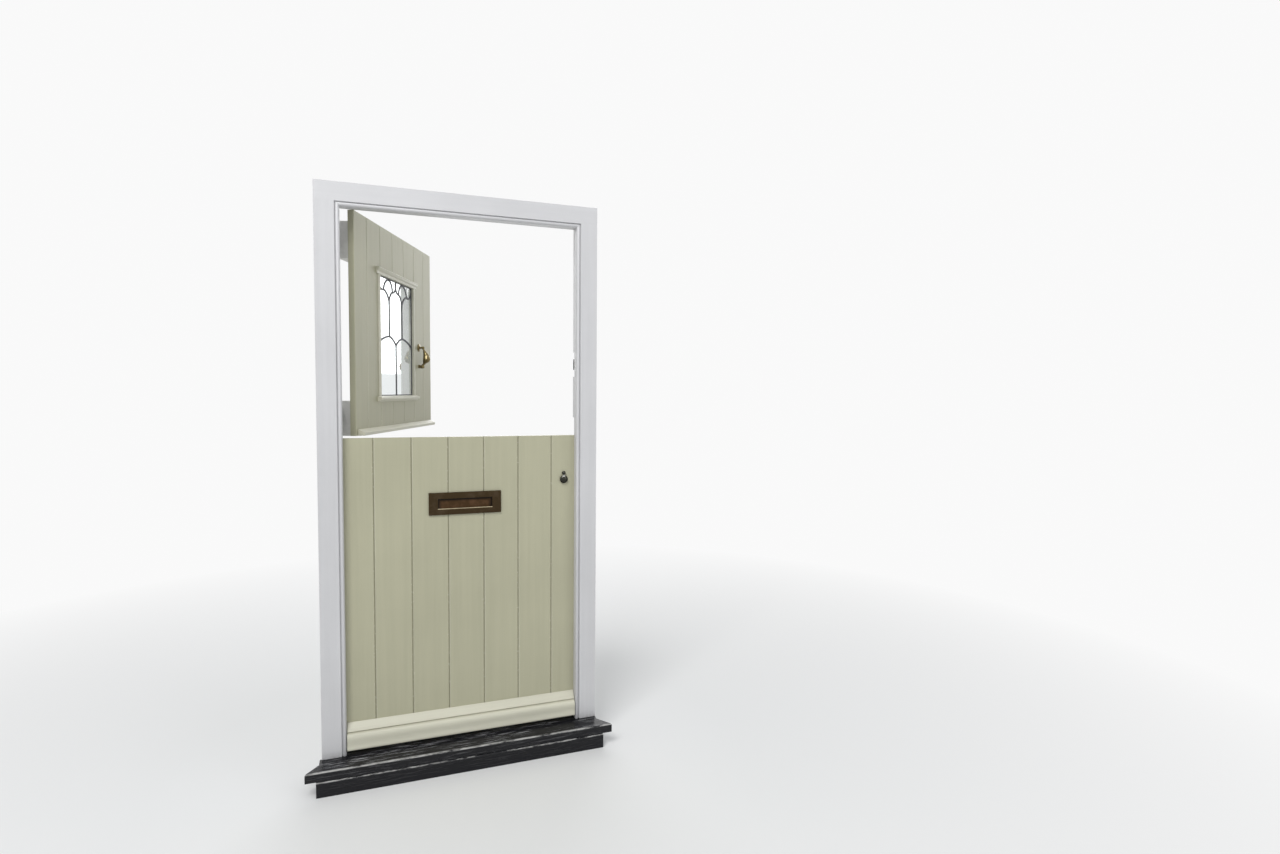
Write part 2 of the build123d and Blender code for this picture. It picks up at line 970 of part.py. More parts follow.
def rim_case(leaf, width, height, centre_v, bolt_height, bolt_thickness, bolt_room, spindle_u=None):
    """Case on the ledge's inner face, with a channel for its bolt out of the lock-side end."""
    with BuildPart() as piece:
        with BuildSketch(leaf.face(case_inner)):
            with Locations((case_edge - width / 2, centre_v)):
                Rectangle(width, height)
        extrude(amount=case_thickness)
        fillet(piece.faces().sort_by(leaf.depth_axis())[-1].edges(), radius=case_rounding)
        with BuildSketch(leaf.section(case_edge - bolt_room)):
            with Locations((bolt_depth, centre_v)):
                Rectangle(bolt_thickness + 2 * bolt_play, bolt_height + 2 * bolt_play)
        extrude(amount=bolt_room, mode=Mode.SUBTRACT)
        if spindle_u:
            with BuildSketch(leaf.face(case_inner)):
                with Locations((spindle_u, centre_v)):
                    Circle(spindle_radius + bore_clearance)
            extrude(amount=case_thickness * 0.75, mode=Mode.SUBTRACT)
    return piece


def lock_bolt():
    """Bolt of the rim lock, drawn back flush with its case."""
    with BuildPart() as piece:
        with BuildSketch(lower.section(case_edge - lock_bolt_length)):
            with Locations((bolt_depth, lock_v)):
                Rectangle(lock_bolt_thickness, lock_bolt_height)
        extrude(amount=lock_bolt_length)
    return piece


def latch_bolt():
    """Spring bolt, bevelled on the side that meets the keep as the leaf closes."""
    near = bolt_depth - latch_bolt_thickness / 2
    far = bolt_depth + latch_bolt_thickness / 2
    tip = case_edge + latch_projection
    with BuildPart() as piece:
        with BuildSketch(upper.plan(latch_rise - latch_bolt_height / 2)):
            with BuildLine():
                Polyline(
                    (case_edge - latch_bolt_length, near),
                    (tip - latch_throw, near),
                    (tip, far - 2),
                    (tip, far),
                    (case_edge - latch_bolt_length, far),
                    close=True,
                )
            make_face()
        extrude(amount=latch_bolt_height)
    return piece


def latch_knob():
    """Turned knob on its spindle."""
    u = case_edge - knob_setback
    v = latch_rise
    start = case_inner + bolt_play
    neck = start + knob_neck_length
    with BuildPart() as piece:
        with BuildSketch(upper.section(u)):
            with BuildLine():
                Polyline(
                    (case_inner - case_thickness / 2, v),
                    (case_inner - case_thickness / 2, v + spindle_radius),
                    (start, v + spindle_radius),
                    (start, v + knob_collar_radius),
                    (start + knob_collar_thickness, v + knob_collar_radius),
                    (start + knob_collar_thickness + 1, v + knob_neck_radius),
                    (neck, v + knob_neck_radius),
                    (neck + knob_rim, v + knob_radius - knob_rim),
                )
                ThreePointArc(
                    (neck + knob_rim, v + knob_radius - knob_rim),
                    (neck + 2 * knob_rim, v + knob_radius),
                    (neck + 3 * knob_rim, v + knob_radius - knob_rim),
                )
                TangentArc(
                    (neck + 4 * knob_rim, v),
                    (neck + 3 * knob_rim, v + knob_radius - knob_rim),
                    tangent=(0, 1),
                )
                Line((neck + 4 * knob_rim, v), (case_inner - case_thickness / 2, v))
            make_face()
        revolve(axis=upper.depth_axis(u, v))
    return piece


hand_in(
    rim_case(
        lower, lock_case_width, lock_case_height, lock_v,
        lock_bolt_height, lock_bolt_thickness, lock_bolt_length + bolt_play,
    ),
    "rim_lock_case",
)
hand_in(lock_bolt(), "lock_bolt")
hand_in(
    rim_case(
        upper, latch_case_width, latch_case_height, latch_rise,
        latch_bolt_height, latch_bolt_thickness, latch_bolt_length + latch_throw + bolt_play,
        case_edge - knob_setback,
    ),
    "rim_latch_case",
)
hand_in(latch_bolt(), "latch_bolt")
hand_in(latch_knob(), "latch_knob")


# Hinge bands and their screws

def bands(leaf, heights):
    """Straps on the ledges, tapered to a rounded tip, with an eye rolled at the hinge end."""
    eye_u = -hinge_setback
    tip_u = eye_u + band_length
    with BuildPart() as piece:
        for v in heights:
            with BuildSketch(leaf.face(leaf_thickness + band_thickness)):
                with BuildLine():
                    Polyline(
                        (tip_u - band_tip_height / 2, v + band_tip_height / 2),
                        (eye_u, v + band_height / 2),
                        (eye_u, v - band_height / 2),
                        (tip_u - band_tip_height / 2, v - band_tip_height / 2),
                    )
                    ThreePointArc(
                        (tip_u - band_tip_height / 2, v - band_tip_height / 2),
                        (tip_u, v),
                        (tip_u - band_tip_height / 2, v + band_tip_height / 2),
                    )
                make_face()
                with Locations(*[(u, v) for u in band_screws]):
                    Circle(screw_radius + bore_clearance, mode=Mode.SUBTRACT)
            extrude(amount=band_thickness)
        for v in heights:
            with BuildSketch(leaf.plan(v - band_height / 2)):
                with Locations((eye_u, leaf_thickness + eye_radius)):
                    Circle(eye_radius)
            extrude(amount=band_height)
        for v in heights:
            with BuildSketch(leaf.plan(v - band_height / 2)):
                with Locations((eye_u, leaf_thickness + eye_radius)):
                    Circle(bore_radius)
            extrude(amount=band_height, mode=Mode.SUBTRACT)
    return piece


def screws(leaf, heights):
    """Round-headed screws through the bands."""
    seat = leaf_thickness + band_thickness
    with BuildPart() as piece:
        for v in heights:
            for u in band_screws:
                with BuildSketch(leaf.section(u)):
                    with BuildLine():
                        Polyline(
                            (seat + screw_head_height, v),
                            (leaf_thickness, v),
                            (leaf_thickness, v + screw_radius),
                            (seat, v + screw_radius),
                            (seat, v + screw_head_radius),
                        )
                        TangentArc(
                            (seat + screw_head_height, v),
                            (seat, v + screw_head_radius),
                            tangent=(0, 1),
                        )
                    make_face()
                revolve(axis=leaf.depth_axis(u, v))
    return piece


hand_in(bands(lower, lower_band_heights), "lower_hinge_bands")
hand_in(bands(upper, upper_band_heights), "upper_hinge_bands")
hand_in(screws(lower, lower_band_heights), "lower_band_screws")
hand_in(screws(upper, upper_band_heights), "upper_band_screws")


# Joining bolt

rod_d = leaf_thickness + join_plate_thickness + join_rod_radius + join_rod_gap
join_staples = (join_staple_low, join_staple_high)


def bolt_guide():
    """Back plate with two staples for the rod."""
    plate_bottom = join_staples[0] - join_staple_height
    plate_top = join_staples[1] + join_staple_height
    with BuildPart() as piece:
        with BuildSketch(upper.face(leaf_thickness + join_plate_thickness)):
            with Locations((join_u, (plate_bottom + plate_top) / 2)):
                RectangleRounded(join_plate_width, plate_top - plate_bottom, join_plate_radius)
        extrude(amount=join_plate_thickness)
        for v in join_staples:
            with BuildSketch(upper.plan(v - join_staple_height / 2)):
                with Locations((join_u, (leaf_thickness + rod_d) / 2)):
                    Rectangle(3 * join_rod_radius, rod_d - leaf_thickness)
                with Locations((join_u, rod_d)):
                    Circle(1.5 * join_rod_radius)
            extrude(amount=join_staple_height)
        with BuildSketch(upper.plan(plate_bottom)):
            with Locations((join_u, rod_d)):
                Circle(join_rod_radius + bore_clearance)
        extrude(amount=plate_top - plate_bottom, mode=Mode.SUBTRACT)
    return piece


def joining_bolt():
    with BuildPart() as piece:
        with BuildSketch(upper.plan(join_rod_bottom)):
            with Locations((join_u, rod_d)):
                Circle(join_rod_radius)
        extrude(amount=join_rod_top - join_rod_bottom)
        chamfer(piece.edges().group_by(Axis.Z)[0], length=join_rod_radius / 4)
        with BuildSketch(upper.face(rod_d)):
            with Locations((join_u, join_knob_rise)):
                Circle(join_rod_radius * 0.7)
        extrude(amount=-4 * join_rod_radius)
        with BuildSketch(upper.face(rod_d + 3 * join_rod_radius)):
            with Locations((join_u, join_knob_rise)):
                Circle(join_rod_radius)
        extrude(amount=-2 * join_rod_radius)
    return piece


def joining_keep():
    top = lower_height - lower_top_ledge_drop
    bottom = top - join_keep_height
    with BuildPart() as piece:
        with BuildSketch(lower.plan(bottom)):
            with Locations((join_u, (leaf_thickness + rod_d) / 2)):
                Rectangle(4 * join_rod_radius, rod_d - leaf_thickness)
            with Locations((join_u, rod_d)):
                Circle(1.8 * join_rod_radius)
                Circle(join_rod_radius + join_keep_clearance, mode=Mode.SUBTRACT)
            with Locations((join_u, leaf_thickness + join_plate_thickness / 2)):
                Rectangle(join_plate_width, join_plate_thickness)
        extrude(amount=join_keep_height)
        with BuildSketch(lower.plan(bottom)):
            with Locations((join_u, rod_d)):
                Circle(join_rod_radius + join_keep_clearance)
        extrude(amount=join_keep_height, mode=Mode.SUBTRACT)
    return piece


hand_in(bolt_guide(), "joining_bolt_guide")
hand_in(joining_bolt(), "joining_bolt")
hand_in(joining_keep(), "joining_bolt_keep")


# Leaded light

light_middle_u = (light_left + light_right) / 2
light_middle_v = (light_bottom + light_top) / 2
glass_back = glass_recess + glass_thickness


def glass():
    with BuildPart() as piece:
        with BuildSketch(upper.face(glass_back)):
            with Locations((light_middle_u, light_middle_v)):
                room = 2 * (glazing_leg - glass_play)
                Rectangle(light_width + room, light_height + room)
        extrude(amount=glass_thickness)
    return piece


def came(draw):
    """One came along the line that draw puts down."""
    with BuildLine() as path:
        draw()
    trace(path.line, line_width=came_width)


def came_pattern():
    """Gothic tracery: two cusped heads on verticals, which stand on two arches and a centre came."""

    def place(across, down):
        return light_left + across * light_width, light_top - down * light_height

    came(lambda: Line(place(0.5, came_spring), place(0.5, 1)))
    for stem in came_stems:
        fork = place(stem, came_fork)
        apex = place(stem, came_apex)
        came(lambda: Line(fork, apex))
        for end in (0 if stem < 0.5 else 1, 0.5):
            reach = end - stem
            spring = place(end, came_spring)
            crown = place(stem + reach * 0.55, came_apex + (came_spring - came_apex) * 0.35)
            waist = place(stem + reach * 0.5, came_fork * 0.52)
            came(lambda: ThreePointArc(spring, crown, apex))
            came(lambda: ThreePointArc(fork, place(stem + reach * 0.18, came_fork * 0.68), waist))
            came(lambda: ThreePointArc(waist, place(stem + reach * 0.88, came_fork * 0.42), place(end, 0)))
            came(lambda: ThreePointArc(waist, place(stem + reach * 0.38, came_fork * 0.24), place(stem, 0.01)))


def cames():
    """Lead cames on both faces of the glass, inside the mouldings."""
    edge = 2 * came_edge_gap
    with BuildPart() as piece:
        for depth in (glass_recess, glass_back + came_height):
            with BuildSketch(upper.face(depth)):
                with Locations((light_middle_u, light_middle_v)):
                    Rectangle(light_width - edge, light_height - edge)
                    Rectangle(
                        light_width - edge - came_width,
                        light_height - edge - came_width,
                        mode=Mode.SUBTRACT,
                    )
                came_pattern()
                with Locations((light_middle_u, light_middle_v)):
                    Rectangle(light_width - edge, light_height - edge, mode=Mode.INTERSECT)
            extrude(amount=came_height)
    return piece


def side_mouldings():
    """Bolection mouldings beside the light: a face over the boards and a leg in to the glass."""
    with BuildPart() as piece:
        for edge, side in ((light_left, -1), (light_right, 1)):
            with BuildSketch(upper.plan(light_bottom)):
                with BuildLine():
                    Polyline(
                        (edge, glass_recess),
                        (edge, -moulding_proud + moulding_round),
                        (edge + side * moulding_round, -moulding_proud),
                        (edge + side * (moulding_width - moulding_cove), -moulding_proud),
                        (edge + side * moulding_width, moulding_cove - moulding_proud),
                        (edge + side * moulding_width, 0),
                        (edge + side * glazing_leg, 0),
                        (edge + side * glazing_leg, glass_recess),
                        close=True,
                    )
                make_face()
            extrude(amount=light_height)
    return piece


def hood():
    """Cornice over the light, with a cyma under a thin cap."""
    left = light_left - hood_overhang
    right = light_right + hood_overhang
    top = light_top + hood_height
    under_cap = top - hood_cap
    crease = hood_proud - moulding_round
    foot = moulding_proud + moulding_round
    with BuildPart() as piece:
        with BuildSketch(upper.section(left)):
            with BuildLine():
                Polyline(
                    (-moulding_proud, light_top),
                    (0, light_top),
                    (0, top),
                    (-crease, top),
                    (-hood_proud, top - moulding_round),
                    (-hood_proud, under_cap),
                    (-crease, under_cap),
                )
                ThreePointArc(
                    (-crease, under_cap),
                    (-crease + moulding_round, under_cap - 0.7 * hood_cyma),
                    (-foot, under_cap - hood_cyma),
                )
                Polyline(
                    (-foot, under_cap - hood_cyma),
                    (-moulding_proud, under_cap - hood_cyma - moulding_round),
                    (-moulding_proud, light_top),
                )
            make_face()
        extrude(amount=right - left)
        with BuildSketch(upper.plan(light_top)):
            with Locations((light_middle_u, glass_recess / 2)):
                Rectangle(light_width + 2 * glazing_leg, glass_recess)
        extrude(amount=glazing_leg)
    return piece


def glazing_sill():
    """Sloped sill under the light."""
    left = light_left - glazing_sill_overhang
    right = light_right + glazing_sill_overhang
    bottom = light_bottom - glazing_sill_height
    edge_low = light_bottom - glazing_sill_fall - glazing_sill_edge
    with BuildPart() as piece:
        with BuildSketch(upper.section(left)):
            with BuildLine():
                Polyline(
                    (0, bottom),
                    (0, light_bottom),
                    (-moulding_proud, light_bottom),
                    (-glazing_sill_proud, light_bottom - glazing_sill_fall),
                    (-glazing_sill_proud, edge_low),
                    (-glazing_sill_proud + glazing_sill_chamfer, edge_low - glazing_sill_chamfer),
                    (-glazing_sill_proud + 3 * glazing_sill_chamfer, edge_low - glazing_sill_chamfer),
                    (-moulding_proud, bottom),
                    close=True,
                )
            make_face()
        extrude(amount=right - left)
        with BuildSketch(upper.plan(light_bottom - glazing_leg)):
            with Locations((light_middle_u, glass_recess / 2)):
                Rectangle(light_width + 2 * glazing_leg, glass_recess)
        extrude(amount=glazing_leg)
    return piece


def inner_bead():
    """Bead that holds the glass from inside."""
    with BuildPart() as piece:
        with BuildSketch(upper.face(glass_back + inner_bead_depth)):
            with Locations((light_middle_u, light_middle_v)):
                Rectangle(light_width + 2 * glazing_leg, light_height + 2 * glazing_leg)
                Rectangle(light_width, light_height, mode=Mode.SUBTRACT)
        extrude(amount=inner_bead_depth)
        inner = piece.faces().sort_by(upper.depth_axis())[-1]
        chamfer(inner.inner_wires()[0].edges(), length=glazing_leg / 2)
    return piece


hand_in(glass(), "glass")
hand_in(cames(), "lead_cames")
hand_in(side_mouldings(), "light_side_mouldings")
hand_in(hood(), "light_hood")
hand_in(glazing_sill(), "light_sill")
hand_in(inner_bead(), "inner_glazing_bead")


# Knocker

strike_v = knocker_v - strike_drop


def knocker_rose():
    """Turned rose with two cheeks and the pin between them, and the strike stud below."""
    half = knocker_eye_width / 2 + cheek_gap
    with BuildPart() as piece:
        with BuildSketch(upper.section(knocker_u)):
            with BuildLine():
                Polyline(
                    (0, knocker_v),
                    (0, knocker_v + rose_radius),
                    (-rose_thickness / 2, knocker_v + rose_radius),
                    (-rose_thickness, knocker_v + rose_radius * 0.75),
                    (-rose_thickness, knocker_v),
                    close=True,
                )
            make_face()
        revolve(axis=upper.depth_axis(knocker_u, knocker_v))
        for start in (knocker_u - half - cheek_width, knocker_u + half):
            with BuildSketch(upper.section(start)):
                with Locations((-(knocker_reach + rose_thickness) / 2, knocker_v)):
                    Rectangle(knocker_reach - rose_thickness, knocker_eye_radius)
                with Locations((-knocker_reach, knocker_v)):
                    Circle(knocker_eye_radius - 1)
            extrude(amount=cheek_width)
        with BuildSketch(upper.section(knocker_u - half - cheek_width)):
            with Locations((-knocker_reach, knocker_v)):
                Circle(knocker_pin_radius)
        extrude(amount=2 * (half + cheek_width))
    return piece


def knocker_arm():
    """Urn-shaped arm: an eye on the pin, a swelling body and a flared foot that strikes the stud."""
    rings = (
        (knocker_v - 4, -knocker_reach - 1, 4),
        (knocker_v - 13, -knocker_reach - 6, 7),
        (knocker_v - 29, -knocker_reach - 12, 10.5),
        (knocker_v - 46, -knocker_reach - 14.5, 13),
        (knocker_v - 60, -knocker_reach - 11, 10),
        (knocker_v - 71, -knocker_reach - 2, 6),
        (strike_v - 8, -knocker_reach + 4, 9),
    )
    with BuildPart() as piece:
        for v, d, radius in rings:
            with BuildSketch(upper.plan(v)):
                with Locations((knocker_u, d)):
                    Circle(radius)
        loft()
        with BuildSketch(upper.section(knocker_u - knocker_eye_width / 2)):
            with Locations((-knocker_reach, knocker_v)):
                Circle(knocker_eye_radius)
        extrude(amount=knocker_eye_width)
        half = knocker_eye_width / 2
        cheek_room = cheek_width + 2 * cheek_gap
        for start in (half, -half - cheek_room):
            with BuildSketch(upper.section(knocker_u + start)):
                with Locations((-knocker_reach, knocker_v)):
                    Circle(knocker_eye_radius + strike_gap)
            extrude(amount=cheek_room, mode=Mode.SUBTRACT)
        with BuildSketch(upper.section(knocker_u - half)):
            with Locations((-knocker_reach, knocker_v)):
                Circle(knocker_pin_radius + bore_clearance)
        extrude(amount=knocker_eye_width, mode=Mode.SUBTRACT)
        with BuildSketch(upper.face(-strike_thickness - cheek_gap)):
            with Locations((knocker_u, strike_v)):
                Circle(strike_radius - strike_gap)
        extrude(amount=knocker_reach - strike_thickness - strike_gap)
    return piece


def knocker_strike():
    with BuildPart() as piece:
        with BuildSketch(upper.face(0)):
            with Locations((knocker_u, strike_v)):
                Circle(strike_radius)
        extrude(amount=strike_thickness)
        chamfer(piece.edges().group_by(upper.depth_axis())[0], length=1)
    return piece


hand_in(knocker_rose(), "knocker_rose")
hand_in(knocker_arm(), "knocker_arm")
hand_in(knocker_strike(), "knocker_strike")
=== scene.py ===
"""Stable door in two leaves: paint, metal and glass finishes, turned fittings and a soft studio."""
import json
from math import pi, radians

import bpy
from bpy.props import FloatProperty, FloatVectorProperty, IntProperty, PointerProperty
from mathutils import Matrix, Vector


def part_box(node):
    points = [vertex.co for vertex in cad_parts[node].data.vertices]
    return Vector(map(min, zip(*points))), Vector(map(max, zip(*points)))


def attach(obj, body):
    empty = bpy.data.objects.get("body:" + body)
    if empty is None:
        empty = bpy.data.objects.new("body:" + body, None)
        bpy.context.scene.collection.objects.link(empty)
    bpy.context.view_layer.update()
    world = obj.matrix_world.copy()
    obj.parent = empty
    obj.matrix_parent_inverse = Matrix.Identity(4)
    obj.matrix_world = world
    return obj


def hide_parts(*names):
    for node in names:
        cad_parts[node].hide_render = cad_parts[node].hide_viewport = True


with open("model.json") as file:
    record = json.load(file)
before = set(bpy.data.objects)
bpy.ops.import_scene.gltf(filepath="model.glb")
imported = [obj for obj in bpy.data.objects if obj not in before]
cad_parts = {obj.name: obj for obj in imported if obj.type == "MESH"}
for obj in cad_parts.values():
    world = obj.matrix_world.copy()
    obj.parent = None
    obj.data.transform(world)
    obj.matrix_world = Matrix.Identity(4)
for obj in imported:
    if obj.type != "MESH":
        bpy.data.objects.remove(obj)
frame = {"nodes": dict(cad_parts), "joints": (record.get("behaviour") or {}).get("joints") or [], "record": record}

bl_info = {
    "name": "Stable Door",
    "version": (1, 0, 0),
    "blender": (4, 5, 0),
    "location": "3D View > Sidebar > Stable Door",
    "description": "Finishes and fittings of a stable door in two leaves",
    "category": "Object",
}

# Places of the two leaves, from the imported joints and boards
HINGE_SETBACK = 0.018
LEAF_THICKNESS = 0.058
EYE_RADIUS = 0.010
LEAF_WIDTH = 0.813
JOINTS = {joint["name"]: joint for joint in frame["joints"]}


class Leaf:
    """One leaf: u runs along it from the hinge edge, d inwards from its outer face, v up."""

    def __init__(self, swing, along, inward, foot):
        along, inward = Vector(along), Vector(inward)
        pivot = Vector(JOINTS[swing]["pos_m"])
        corner = pivot + along * HINGE_SETBACK - inward * (LEAF_THICKNESS + EYE_RADIUS)
        self.corner = Vector((corner.x, corner.y, foot))
        self.turn = along.to_2d().angle_signed(Vector((1, 0)))
        self.matrix = Matrix.Translation(self.corner) @ Matrix.Rotation(self.turn, 4, "Z")

    def spot(self, u, d, v, way="out"):
        """Matrix of a place on the leaf whose Z points out of the outer face, or into the room."""
        quarter = pi / 2 if way == "out" else -pi / 2
        return self.matrix @ Matrix.Translation((u, d, v)) @ Matrix.Rotation(quarter, 4, "X")


LOWER = Leaf("lower_leaf_swing", (1, 0, 0), (0, 1, 0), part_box("lower_board_1")[0].z)
UPPER = Leaf(
    "upper_leaf_swing",
    JOINTS["latch_bolt_slide"]["axis"],
    JOINTS["latch_knob_turn"]["axis"],
    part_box("upper_board_1")[0].z,
)
FIRST_JOINT = 0.105
BOARD_PITCH = 0.122
BOARD_MIDDLES = (0.0525, 0.166, 0.288, 0.410, 0.532, 0.654, 0.764)

# Fittings, along the leaf and up from its foot
KNOCKER = (0.652, 0.339)
PIN_REACH = 0.019
STRIKE = (0.652, 0.259)
NUB_REACH = 0.0053
LATCH_KNOB = (0.739, 0.259)
KNOB_CLEARANCE = 0.0003
KEYHOLE = (0.761, 0.896)
COVER_PIVOT = (0.761, 0.919)
COVER_FACE, BOSS_FACE = -0.0048, -0.0052
LETTER_PLATE = (0.4065, 0.8255)
LETTER_SIZE = (0.248, 0.078)
LETTER_THICKNESS = 0.006
APERTURE = (0.186, 0.034)
LIGHT_LEFT, LIGHT_TOP = 0.220, 0.582
LIGHT_WIDTH, LIGHT_HEIGHT = 0.360, 0.447
CAME_OUTER, CAME_INNER = 0.0048, 0.0102
LOWER_BANDS = (0.145, 0.960)
UPPER_BANDS = (0.060, 0.6615)

# Screws and nails. Hook plates: sideways from the pins, then up and down from each hook.
# Keeps: up and down from the middle. Cases: along the leaf, then up and down from the middle.
# The bolt's plate and the nails: along the leaf and up from its foot. The lock hides some nails.
JAMB_INNER_FACE = 0.093
HOOK_SCREWS = -0.031, (-0.043, 0, 0.043)
KEEP_SCREWS = {"latch_keep": 0.014, "lock_keep": 0.015}
CASE_FACE = 0.080
LOCK_SCREWS = (0.699, 0.799), 0.026
LATCH_SCREWS = (0.710, 0.799), 0.021
BOLT_FACE = 0.0605
BOLT_SCREWS = (0.547, 0.573), (0.037, 0.069)
LOWER_NAIL_ROWS = (0.093, 0.197, 0.888, 1.032)
UPPER_NAIL_ROWS = (0.016, 0.104, 0.6145, 0.7085)
LOCK_ROW, LOCK_START = 0.888, 0.68
SLOT_TURN = 0.7

# Weather board: height from the leaf's foot and reach from its face, up the front
WEATHER_PROFILE = (
    (0.0095, 0.0288), (0.0101, 0.0302), (0.0114, 0.0312), (0.0135, 0.0315), (0.0170, 0.0315),
    (0.0195, 0.0309), (0.0235, 0.0300), (0.0285, 0.0296), (0.0340, 0.0298), (0.0400, 0.0305),
    (0.0460, 0.0311), (0.0510, 0.0312), (0.0552, 0.0307), (0.0588, 0.0295), (0.0617, 0.0277),
    (0.0638, 0.0255), (0.0651, 0.0231), (0.0658, 0.0205), (0.0663, 0.0168), (0.0672, 0.0150),
    (0.0685, 0.0152), (0.0691, 0.0180), (0.0696, 0.0198), (0.0704, 0.0207), (0.0718, 0.0203),
    (0.0780, 0.0161), (0.0850, 0.0107), (0.0910, 0.0060), (0.0942, 0.0033), (0.0956, 0.0018),
)
WEATHER_LENGTH = 0.785
WEATHER_PROUD = 0.0315
END_SPLAY = 0.003

# Colours of dirt, wear, painted highlights, painted shade and the studio
VEE_DIRT = (0.15, 0.145, 0.105)
# Pale painted highlight in the upper leaf's vees, where light catches their flanks
VEE_PAINTED_HIGHLIGHT = (0.62, 0.60, 0.48)
# Pale paint crumbs, and worn paint with a painted highlight on the arris beside each vee
CRUMBS_WEAR_AND_HIGHLIGHT = (0.66, 0.65, 0.54)
SPLASHES = (0.09, 0.085, 0.07)
# Pale streaks along the sill's grain, strongest on faces that look up
PALE_STREAKS = (0.42, 0.42, 0.43)
# Chips through the black: wear on the sill's nose, a painted highlight on the plinth's top arris
WORN_CHIPS_AND_HIGHLIGHT = (0.46, 0.455, 0.44)
RUBBED_BRONZE = (0.105, 0.075, 0.048)
RUBBED_FLAP = (0.155, 0.080, 0.042)
RUBBED_PEWTER = (0.20, 0.20, 0.175)
RUBBED_BRASS = (0.60, 0.50, 0.28)
# Painted highlight on the letter plate's lower lip, which faces the sky
LIP_HIGHLIGHT = (0.52, 0.44, 0.29)
# Painted highlight of the sky on the top of the keyhole cover's dome
DOME_HIGHLIGHT = (0.82, 0.82, 0.78)
# Painted shade inside the letter aperture, under its top and at its ends
RECESS_SHADE = (0.004, 0.003, 0.002)
RUST = (0.11, 0.045, 0.02)
LEAD_BLOOM = (0.24, 0.24, 0.25)
GLASS_TINT = (0.86, 0.90, 0.90)
BRIGHT_STEEL = (0.46, 0.46, 0.45)
FLOOR_GREY = (0.80, 0.80, 0.79)
STUDIO_LIGHT = (0.93, 0.96, 1.0)
STUDIO_WHITE = (0.95, 0.95, 0.95)

# Studio: each lamp's place, size and power, and the camera that took the photograph
LAMPS = {
    "key": ((-1.7, -2.8, 4.4), 2.0, 140),
    "fill": ((3.2, -3.2, 2.2), 3.0, 32),
    "room": ((0.8, 3.6, 2.8), 3.0, 60),
}
LAMP_AIM = (0, 0.1, 1.0)
WORLD_STRENGTH = 0.48
FLOOR_SIZE = 60
FADE_START, FADE_END = 1.0, 3.5
CAMERA_PLACE = (-0.2735, -2.4544, 1.3227)
CAMERA_TURN, CAMERA_DIP, CAMERA_ROLL = -20.48, 3.03, 0.48
CAMERA_LENS, SENSOR_WIDTH = 19.485, 36

# Finish of each material slot, and of the nodes that differ from their slot's
SLOT_FINISHES = {
    "frame_paint": "jamb",
    "sill_paint": "sill",
    "board_paint": "board",
    "moulding_paint": "moulding",
    "inner_paint": "inner",
    "black_iron": "iron",
    "steel": "steel",
    "bronze": "bronze",
    "brass": "brass",
    "glass": "glass",
    "lead": "lead",
}
NODE_FINISHES = {
    "escutcheon": "pewter",
    "keyhole_cover": "pewter",
    "sill_plinth": "plinth",
    "letter_flap": "flap",
    "frame_head": "head",
    "head_trim": "head",
    "upper_uprights": "upright_upper",
}


class PaintSettings(bpy.types.PropertyGroup):
    board: FloatVectorProperty(
        name="Boards", description="Sage paint of the boards",
        subtype="COLOR", default=(0.425, 0.413, 0.293),
    )
    weather: FloatVectorProperty(
        name="Mouldings", description="Paler paint of the weather board and mouldings",
        subtype="COLOR", default=(0.60, 0.585, 0.475),
    )
    frame: FloatVectorProperty(
        name="Frame", description="Off-white paint of the frame",
        subtype="COLOR", default=(0.585, 0.583, 0.592),
    )
    inner: FloatVectorProperty(
        name="Inner side", description="White paint of the ledges",
        subtype="COLOR", default=(0.72, 0.71, 0.67),
    )
    sill: FloatVectorProperty(
        name="Sill", description="Black gloss of the sill",
        subtype="COLOR", default=(0.008, 0.008, 0.010),
    )
    arris: FloatProperty(
        name="Arris", description="Rounding that paint leaves on timber edges",
        subtype="DISTANCE", default=0.0008,
    )


class MetalSettings(bpy.types.PropertyGroup):
    bronze: FloatVectorProperty(
        name="Bronze", description="Brown bronze of the letter plate",
        subtype="COLOR", default=(0.042, 0.026, 0.010),
    )
    flap: FloatVectorProperty(
        name="Flap", description="Redder bronze of the letter flap",
        subtype="COLOR", default=(0.054, 0.028, 0.010),
    )
    pewter: FloatVectorProperty(
        name="Pewter", description="Dark metal of the keyhole cover",
        subtype="COLOR", default=(0.038, 0.038, 0.032),
    )
    brass: FloatVectorProperty(
        name="Brass", description="Aged brass of the knocker and knob",
        subtype="COLOR", default=(0.17, 0.135, 0.062),
    )
    iron: FloatVectorProperty(
        name="Iron", description="Black hinges and cases",
        subtype="COLOR", default=(0.018, 0.018, 0.019),
    )
    lead: FloatVectorProperty(
        name="Lead", description="Dull lead of the cames",
        subtype="COLOR", default=(0.075, 0.077, 0.085),
    )
    screw: FloatProperty(
        name="Screw head", description="Radius of the small screw heads",
        subtype="DISTANCE", default=0.0045,
    )
    segments: IntProperty(
        name="Segments", description="Segments of turned pieces", default=32, min=12, max=96,
    )


# Materials

# Numbers of the mix node's colour sockets, and the grain's stretch along X, Y and Z
MIX_A, MIX_B, MIX_RESULT = 6, 7, 2
UPRIGHT_GRAIN = (55, 55, 1.5)
LEVEL_GRAIN = (1.5, 55, 55)


